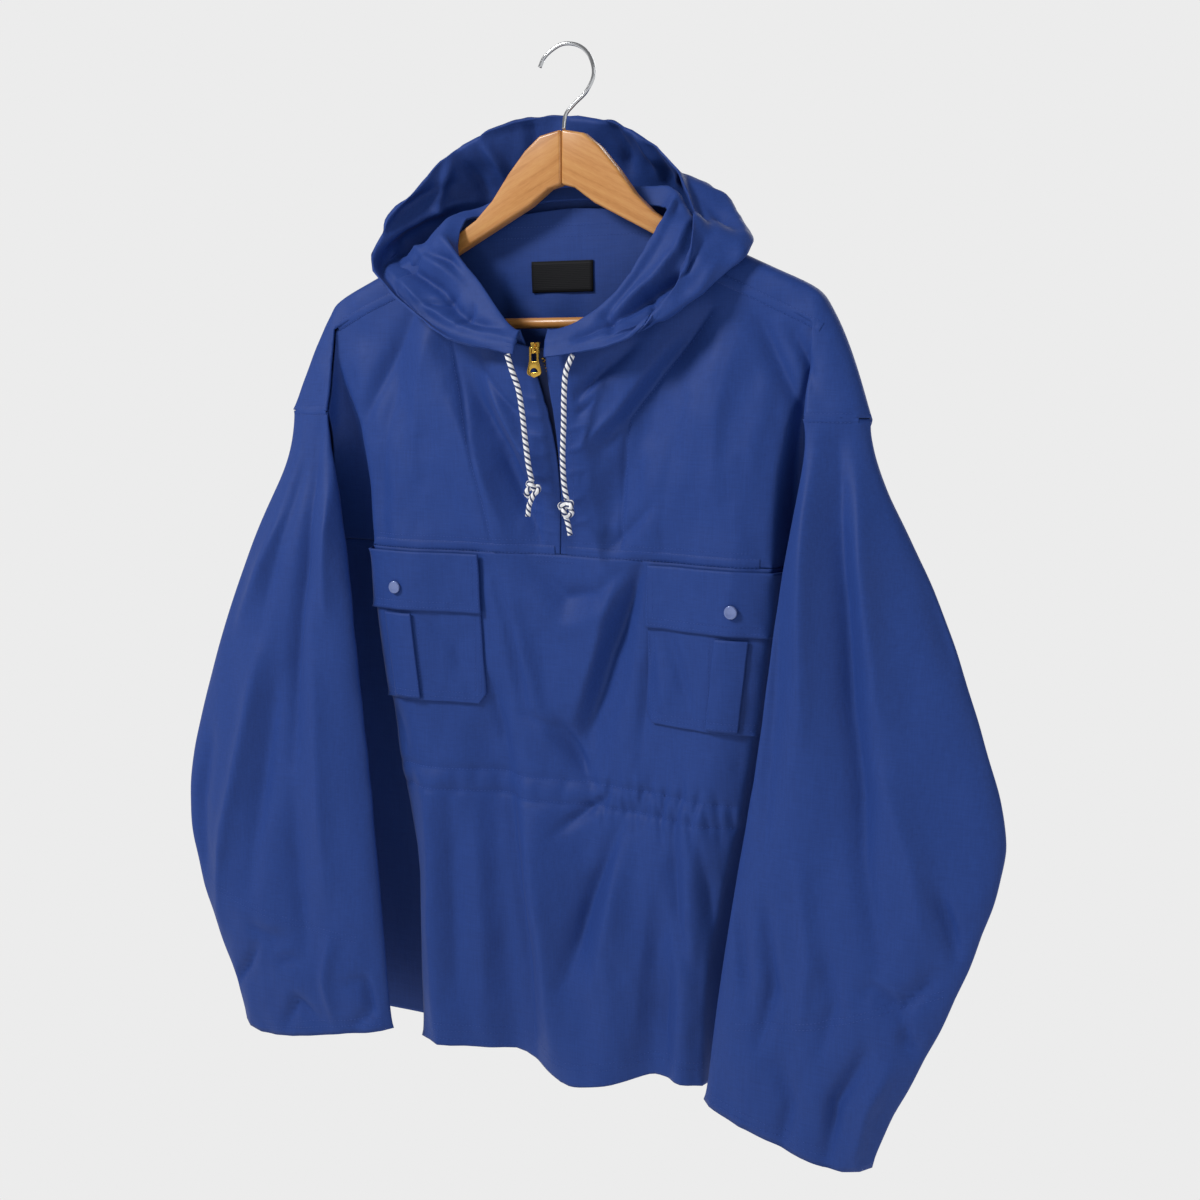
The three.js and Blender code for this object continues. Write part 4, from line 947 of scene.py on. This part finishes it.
def sewn_rows(name, covered, lines, towards=1):
    """One joined mesh of all the stitches along the lines on one side of the garment."""
    tree = search_tree([cloth[part].data for part in covered])
    form = bmesh.new()
    count = 0
    for line in lines:
        # each row is sewn on its own and then joined to the rest, which is far quicker
        row = bmesh.new()
        for place in stitch_places(tree, line, towards):
            bmesh.ops.create_uvsphere(row, u_segments=5, v_segments=3, radius=1, matrix=place)
            count += 1
        row_mesh = bpy.data.meshes.new("row")
        row.to_mesh(row_mesh)
        row.free()
        form.from_mesh(row_mesh)
        bpy.data.meshes.remove(row_mesh)
    piece = piece_from(form, name)
    piece.data.shade_smooth()
    place_on(piece, thread)
    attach(piece, "anorak")
    print(name, count, "stitches")


thread, _ = new_material("blue_sewing_thread", "2A4C9C", 0.5)


# %% [markdown]
# The seams' lines are worked out from a few places on the garment: the level chest seam, the two
# rows that hold the waist's tape, the pockets' edges, the facing, the hem and the wrists.


# %% Lines of the front's seams
CHEST_ROW = -404
front_lines = [
    [(-170, CHEST_ROW), (2, CHEST_ROW)], [(16, CHEST_ROW), (186, CHEST_ROW)],
    [(-99, -232), (-76, -322), (-54, CHEST_ROW)],
    [(141, -217), (102, -263), (74, -301), (68, -352), (66, CHEST_ROW)],
    [(-150, -612), (170, -612)], [(-150, -631), (170, -631)],
    [(-126, -860), (-60, -864), (-34, -866)], [(-126, -866), (-60, -870)],
    # the placket's two rows
    [(-16, -290), (-15, -330), (-16, -372), (-20, CHEST_ROW)],
    [(23, -290), (25, -330), (24, -372), (21, CHEST_ROW)],
    [(17, -286), (18, -330), (17, -372), (13, CHEST_ROW)],
    # the short bar at the zip's lower end
    [(-19, -418), (22, -418)], [(-19, -422), (22, -422)],
]


def hem_height(x):
    """The hem's dip under the long fold, and its rise beside it."""
    rise = 12 * float(smooth_step(np.array((x - 60) / 60)))
    return -868 - 11 * math.exp(-(((x - 24) / 34) ** 2)) + rise


front_lines += [[(x, hem_height(x) + up) for x in range(-150, 172, 6)] for up in (14, 20)]
sewn_rows("stitches_front", ["chest_left", "chest_right", "front_lower"], front_lines)

# %% Lines of the pockets
pocket_lines = []
for left, right in [(-66, -176), (88, 198)]:
    # along the flap's edges, the pocket's edges and the strip down its middle
    inward = 1 if right > left and left > 0 else -1
    a, b = left + inward * 3, right
    pocket_lines += [[(a, -421), (a, -467), (b, -467)]]
    pocket_lines += [[(a + inward * 5, -421), (a + inward * 5, -462), (b, -462)]]
    pocket_lines += [[(a, -474), (a, -540), (a + inward * 7, -547), (b, -547)]]
    pocket_lines += [[(a + inward * 5, -474), (a + inward * 5, -538), (a + inward * 10, -542), (b, -542)]]
    strip = left + inward * 60
    pocket_lines += [[(strip, -475), (strip, -546)]]
pocket_parts = ("pocket", "flap", "pocket_strip")
pocket_names = [f"{part}_{side}" for part in pocket_parts for side in ("left", "right")]
sewn_rows("stitches_pockets", pocket_names, pocket_lines)

# %% Lines of the sleeves
sleeve_lines = [
    [(-347, -727), (-300, -745), (-240, -760), (-172, -768)],
    [(-347, -732), (-300, -750), (-240, -765), (-172, -773)],
    [(356, -714), (320, -730), (260, -758), (186, -776)],
    [(356, -719), (320, -735), (260, -763), (186, -781)],
]
for up in (5, 11):
    sleeve_lines.append([(-150 - k * 8, -852 - k * 1.4 + up) for k in range(17)])
    sleeve_lines.append([(160 + k * 8, -852 - k * 1.4 + up) for k in range(15)])
sewn_rows("stitches_sleeves_front", ["sleeve_left", "sleeve_right"], sleeve_lines)
sewn_rows("stitches_sleeves_back", ["sleeve_left", "sleeve_right"], sleeve_lines, -1)

# %% [markdown]
# Where two panels meet, the seam is felled: the cloth of one is folded over the other, so it
# stands a little proud as a flat band with a row of stitches along each edge. Each band is laid on
# the cloth on both sides of its seam, so it closes it.

# %% Felled seams
SEAM_RISE = 0.7
HALF_WIDTH = 4.2
MOST_STEP = 9 * MM  # a band isn't laid where its two sides would be further apart in depth
# across the band: how far from its middle, as a share of its half width, and how high
BAND = [(-1, -0.3), (-0.8, 0.6), (-0.35, 1), (0.35, 1), (0.8, 0.6), (1, -0.3)]
STITCHED = (1, 4)


def band_rows(tree, path, towards):
    """The band's rows of places along the path, in stretches without a gap."""
    stretches = [[]]
    for i, point in enumerate(path):
        run = (path[min(i + 1, len(path) - 1)] - path[max(i - 1, 0)]).normalized()
        across = Vector((-run.z, 0, run.x))
        sides = []
        for sign in (-1, 1):
            start = point + across * sign * HALF_WIDTH * MM
            start.y = -OUTSIDE * towards
            sides.append(tree.ray_cast(start, Vector((0, towards, 0)))[0])
        if None in sides or abs(sides[0].y - sides[1].y) > MOST_STEP:
            stretches.append([])
            continue
        stretches[-1].append([
            sides[0].lerp(sides[1], (reach + 1) / 2) - Vector((0, towards * SEAM_RISE * rise * MM, 0))
            for reach, rise in BAND
        ])
    return stretches


def felled_seam(name, covered, line, towards=1):
    """A band of cloth along a seam that is given as a line of (x, z); it returns its stitch lines."""
    path = even_steps([(x, 0, z) for x, z in line], 5 * MM)
    path.append(Vector((line[-1][0], 0, line[-1][1])) * MM)
    stretches = band_rows(search_tree([cloth[part].data for part in covered]), path, towards)
    form = bmesh.new()
    for rows in [rows for rows in stretches if len(rows) > 1]:
        grid = bmesh.ops.create_grid(
            form, x_segments=len(BAND) - 1, y_segments=len(rows) - 1, size=1,
        )
        for vert, place in zip(grid["verts"], [place for row in rows for place in row]):
            vert.co = place
    for face in form.faces:
        face.smooth = True
    bmesh.ops.recalc_face_normals(form, faces=form.faces)
    piece = piece_from(form, name)
    place_on(piece, body_poplin)
    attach(piece, "anorak")
    cloth[name] = piece
    laid = [row for rows in stretches for row in rows]
    return [[(row[side].x / MM, row[side].z / MM) for row in laid] for side in STITCHED]


chests = ["chest_left", "chest_right", "front_lower", "back"]
CHEST_SEAM = -411.6
LEFT_SHOULDER = [(-132, -184), (-160, -197), (-184, -206.5), (-205, -216), (-219, -223)]
RIGHT_SHOULDER = [
    (126, -181), (152, -193), (172, -202), (192, -211.5), (212, -220.5), (229, -229),
]
ARMHOLE = -297
felled = felled_seam("seam_chest_left", chests, [(-172, CHEST_SEAM), (2, CHEST_SEAM)])
felled += felled_seam("seam_chest_right", chests, [(14, CHEST_SEAM), (188, CHEST_SEAM)])
felled += felled_seam("seam_shoulder_left", chests, LEFT_SHOULDER)
felled += felled_seam("seam_shoulder_right", chests, RIGHT_SHOULDER)
arms = ["sleeve_left", "sleeve_right", "back"]
for side, sign in (("left", -1), ("right", 1)):
    level = [(sign * x, ARMHOLE) for x in (222, 240, 262)]
    felled += felled_seam(f"seam_armhole_{side}", arms, level)
sewn_rows("stitches_seams", [name for name in cloth if name.startswith("seam_")], felled)
behind = []
for side, sign in (("left", -1), ("right", 1)):
    level = [(sign * x, ARMHOLE) for x in (226, 262)]
    behind += felled_seam(f"seam_armhole_{side}_back", arms, level, towards=-1)
sewn_rows("stitches_seams_back", [name for name in cloth if name.endswith("_back")], behind, -1)

# %% Lines of the back
back_lines = [
    [(-236, -612), (244, -612)], [(-236, -631), (244, -631)],
    [(-240, -854), (250, -854)], [(-240, -860), (250, -860)],
]
sewn_rows("stitches_back", ["back"], back_lines, -1)
# inside the neck, two rows of stitches
inside_neck = [[(-70, -150), (68, -150)], [(-82, -141), (80, -141)]]
sewn_rows("stitches_neck", ["back"], inside_neck)

# %% [markdown]
# ## Zip
# A brass zip runs behind the slit between the two chest panels. Its cloth tape, the rows of teeth
# and the slider with its pull tab are small, but they catch the light. A tooth is a beveled block,
# made once and copied down both sides of the chain.

# %% Polished brass
brass, brass_shader = new_material("polished_brass", "D6AC4E", 0.2, 1.0)
brass_place = add_node(brass, "ShaderNodeTexCoord").outputs["Object"]
brass_wear = add_node(brass, "ShaderNodeTexNoise", Vector=brass_place, Scale=420.0, Detail=3.0)
brass_rough = add_node(
    brass, "ShaderNodeMapRange", Value=brass_wear.outputs["Fac"], To_Min=0.14, To_Max=0.34,
)
join(brass, brass_rough.outputs[0], brass_shader, "Roughness")


# %% Hard parts with softened edges
def softened_copy(name, new_name, width, segments=2, angle=30):
    """A welded copy of a hard part, with its sharp edges beveled."""
    form = bmesh.new()
    form.from_mesh(nodes[name].data)
    bmesh.ops.remove_doubles(form, verts=form.verts, dist=0.005 * MM)
    bmesh.ops.dissolve_limit(form, angle_limit=math.radians(1), verts=form.verts, edges=form.edges)
    folded = [e for e in form.edges if len(e.link_faces) == 2]
    sharp = [e for e in folded if e.calc_face_angle(0) > math.radians(angle)]
    bmesh.ops.bevel(
        form, geom=sharp, offset=width, offset_type="OFFSET", segments=segments, profile=0.5,
        affect="EDGES", material=-1, clamp_overlap=True,
    )
    bmesh.ops.triangulate(form, faces=[f for f in form.faces if len(f.verts) > 4])
    for face in form.faces:
        face.smooth = True
    piece = piece_from(form, new_name)
    piece.data.set_sharp_from_angle(angle=math.radians(38))
    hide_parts(name)
    return piece


slider = softened_copy("zip_slider", "slider", 0.3 * MM)
place_on(slider, brass)
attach(slider, "anorak")
pull = softened_copy("zip_pull", "pull_tab", 0.3 * MM)
place_on(pull, brass)
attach(pull, "pull")

# %% Tape and teeth
tape = cloth_copy("zip_tape", 2)
zip_tape_cotton, _ = new_material("navy_cotton_tape", "1B2C5C", 0.8)
place_on(tape, zip_tape_cotton)
TOOTH = {"width": 2.2 * MM, "deep": 1.6 * MM, "high": 1.1 * MM, "pitch": 2.5 * MM}
CHAIN_TOP = -252 * MM
TEETH = 58
CHAIN_OFFSET = 0.8 * MM  # the chain's middle stands this far left of the slit's
tape_tree = search_tree([tape.data])
teeth_form = bmesh.new()
for step in range(TEETH):
    z = CHAIN_TOP - step * TOOTH["pitch"]
    for side in (-1, 1):
        height = z - (TOOTH["pitch"] / 2 if side > 0 else 0)
        middle = np.interp(-height / MM, SLIT_DOWN, SLIT_ACROSS) * MM
        x = float(middle) - CHAIN_OFFSET + side * TOOTH["width"] * 0.42
        hit = tape_tree.ray_cast(Vector((x, -OUTSIDE, height)), Vector((0, 1, 0)))[0]
        if hit is None:
            continue
        size = Matrix.Diagonal((TOOTH["width"], TOOTH["deep"], TOOTH["high"], 1))
        place = Matrix.Translation(hit + Vector((0, -0.35 * TOOTH["deep"], 0)))
        bmesh.ops.create_cube(teeth_form, size=1, matrix=place @ size)
bmesh.ops.bevel(
    teeth_form, geom=list(teeth_form.edges), offset=0.22 * MM, offset_type="OFFSET", segments=1,
    profile=0.5, affect="EDGES", material=-1,
)
teeth = piece_from(teeth_form, "zip_teeth")
place_on(teeth, brass)
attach(teeth, "anorak")
print("teeth faces:", len(teeth.data.polygons))

# %% [markdown]
# ## Snaps
# Each flap closes with a prong snap: a shallow pressed cap, enamelled grey-blue, with a rolled rim.
# A profile that is spun round its axis gives the cap its dish and its rim in one go.

# %% Snap caps
enamel, _ = new_material("grey_blue_enamel", "6F7FB4", 0.3, 0.25, Coat_Weight=0.5)
# the cap's section: out from its axis, and forward from the flap
CAP_PROFILE = [
    (0, -1.9), (2.2, -2.0), (3.6, -2.2), (4.3, -2.5), (4.9, -2.45), (5.4, -2.0), (5.5, -1.2),
    (5.3, 0),
]
for side in ("left", "right"):
    low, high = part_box(f"snap_{side}")
    middle = (Vector(low) + Vector(high)) / 2
    back_face = max(low[1], high[1])
    form = bmesh.new()
    verts = [form.verts.new((r * MM, y * MM, 0)) for r, y in CAP_PROFILE]
    edges = [form.edges.new(pair) for pair in zip(verts, verts[1:])]
    bmesh.ops.spin(
        form, geom=verts + edges, cent=(0, 0, 0), axis=(0, 1, 0), angle=2 * math.pi, steps=40,
        use_merge=True, use_duplicate=False,
    )
    bmesh.ops.remove_doubles(form, verts=form.verts, dist=0.005 * MM)
    bmesh.ops.holes_fill(form, edges=[e for e in form.edges if e.is_boundary], sides=0)
    bmesh.ops.recalc_face_normals(form, faces=form.faces)
    bmesh.ops.translate(form, verts=form.verts, vec=(middle.x, back_face, middle.z))
    for face in form.faces:
        face.smooth = len(face.verts) < 5
    cap = piece_from(form, f"snap_cap_{side}")
    place_on(cap, enamel)
    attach(cap, "anorak")
    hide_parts(f"snap_{side}")

# %% [markdown]
# ## Label
# A small black woven label is sewn inside the back of the neck. It is bare, so its only detail is
# the fine ribbed weave of its satin.

# %% Woven label
label = cloth_copy("label", 2)
label_satin, label_shader = new_material(
    "black_woven_satin", "0D0E12", 0.7, Specular_IOR_Level=0.2,
)
label_place = add_node(label_satin, "ShaderNodeTexCoord").outputs["Object"]
label_ribs = add_node(
    label_satin, "ShaderNodeTexWave", {"bands_direction": "Z"},
    Vector=label_place, Scale=210.0, Distortion=0.4,
)
label_bump = add_node(
    label_satin, "ShaderNodeBump", Height=label_ribs.outputs["Fac"], Strength=0.4,
    Distance=0.2 * MM,
)
join(label_satin, label_bump.outputs["Normal"], label_shader, "Normal")
place_on(label, label_satin)

# %% [markdown]
# ## Hanger
# The hanger is beech under clear varnish. Two shaped arms meet at the middle on a glued joint, so
# the grain runs down each arm and changes there. The edges are rounded with a router, which a
# beveled copy of each arm gives.


# %% Varnished beech
def beech(name, slope):
    """Beech whose grain runs along an arm that falls by slope, in radians."""
    material, shader = new_material(name, "C88D4C", 0.36, Coat_Weight=0.35, Coat_Roughness=0.22)
    place = add_node(material, "ShaderNodeTexCoord").outputs["Object"]
    turned = add_node(material, "ShaderNodeMapping", Vector=place, Rotation=(0, slope, 0))
    along = turned.outputs[0]
    # growth rings about 5 mm apart, drawn out along the arm
    drawn = add_node(material, "ShaderNodeMapping", Vector=along, Scale=(9, 150, 200))
    rings = add_node(
        material, "ShaderNodeTexNoise", Vector=drawn.outputs[0], Scale=1.0, Detail=3.0, Roughness=0.5,
    )
    # the short flecks of beech, about 1 mm wide and 6 mm long
    short = add_node(material, "ShaderNodeMapping", Vector=along, Scale=(160, 1100, 1100))
    flecks = add_node(
        material, "ShaderNodeTexNoise", Vector=short.outputs[0], Scale=1.0, Detail=2.0,
    )
    grain = add_node(
        material, "ShaderNodeMath", {"operation": "MULTIPLY_ADD"},
        _0=flecks.outputs["Fac"], _1=0.35, _2=rings.outputs["Fac"],
    )
    colour = add_node(
        material, "ShaderNodeValToRGB", Fac=grain.outputs[0],
        stops=[(0.4, "AD7236"), (0.62, "C08447"), (0.88, "CB9455")],
    )
    join(material, colour.outputs["Color"], shader, "Base Color")
    bump = add_node(
        material, "ShaderNodeBump", Height=flecks.outputs["Fac"], Strength=0.12, Distance=0.2 * MM,
    )
    join(material, bump.outputs["Normal"], shader, "Normal")
    return material


ARM_SLOPE = math.radians(27)
for side, slope in (("left", ARM_SLOPE), ("right", -ARM_SLOPE)):
    arm = softened_copy(f"hanger_arm_{side}", f"arm_{side}", 2.4 * MM, segments=4, angle=60)
    place_on(arm, beech(f"varnished_beech_{side}", slope))
    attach(arm, "anorak")

bar_low, bar_high = [Vector(p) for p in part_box("hanger_bar")]
bar_radius = (bar_high.z - bar_low.z) / 2
bar_form = bmesh.new()
bmesh.ops.create_cone(
    bar_form, cap_ends=True, segments=40, radius1=bar_radius, radius2=bar_radius,
    depth=bar_high.x - bar_low.x,
    matrix=Matrix.Translation((bar_low + bar_high) / 2) @ Matrix.Rotation(math.pi / 2, 4, "Y"),
)
for face in bar_form.faces:
    face.smooth = len(face.verts) == 4
bar = piece_from(bar_form, "trouser_bar")
place_on(bar, beech("varnished_beech_bar", 0))
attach(bar, "anorak")
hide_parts("hanger_bar")

# %% [markdown]
# ## Hook
# The hook is 3.2 mm steel wire, bright plated, bent round a former and left with a blunt end. It is
# the same kind of tube as the cords, along the bends of the real wire.

# %% Plated wire
plated, _ = new_material("bright_plated_steel", "C6C8CB", 0.16, 1.0)
WIRE = 3.2 * MM
HOOK_BENDS = [
    (0, 0, -65.6), (2, 0, -54), (10, 0, -46), (21, 0, -37), (27.5, 0, -24), (24, 0, -10),
    (14, 0, -1), (0, 0, 1.6), (-10, 0, -2), (-18, 0, -8), (-22, 0, -15),
]
hook_path, _ = smooth_route(HOOK_BENDS, 90)
hook = tube("hook_wire", hook_path, WIRE, sides=20)
place_on(hook, plated)
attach(hook, "anorak")
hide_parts("hanger_hook")

# %% [markdown]
# ## Sizes
# Nothing that was added may grow the garment past its solid parts, apart from the little that
# folded cloth may stand proud. The box of the solid parts and that of the finished scene are both
# measured, and how far each side has grown is printed.

# %% Compare the sizes and finish
counts = {
    o.name: sum(len(p.vertices) - 2 for p in o.data.polygons)
    for o in bpy.context.scene.objects if o.type == "MESH" and not o.hide_render
}
print("triangles:", sum(counts.values()), "most:", max(counts.items(), key=lambda c: c[1]))
final_box = [[float(c) for c in corner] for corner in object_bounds()]
corners = zip(cad_box, final_box)
grown = [[round((b - a) / MM, 1) for a, b in zip(solid, dressed)] for solid, dressed in corners]
print("grown by (mm):", grown)
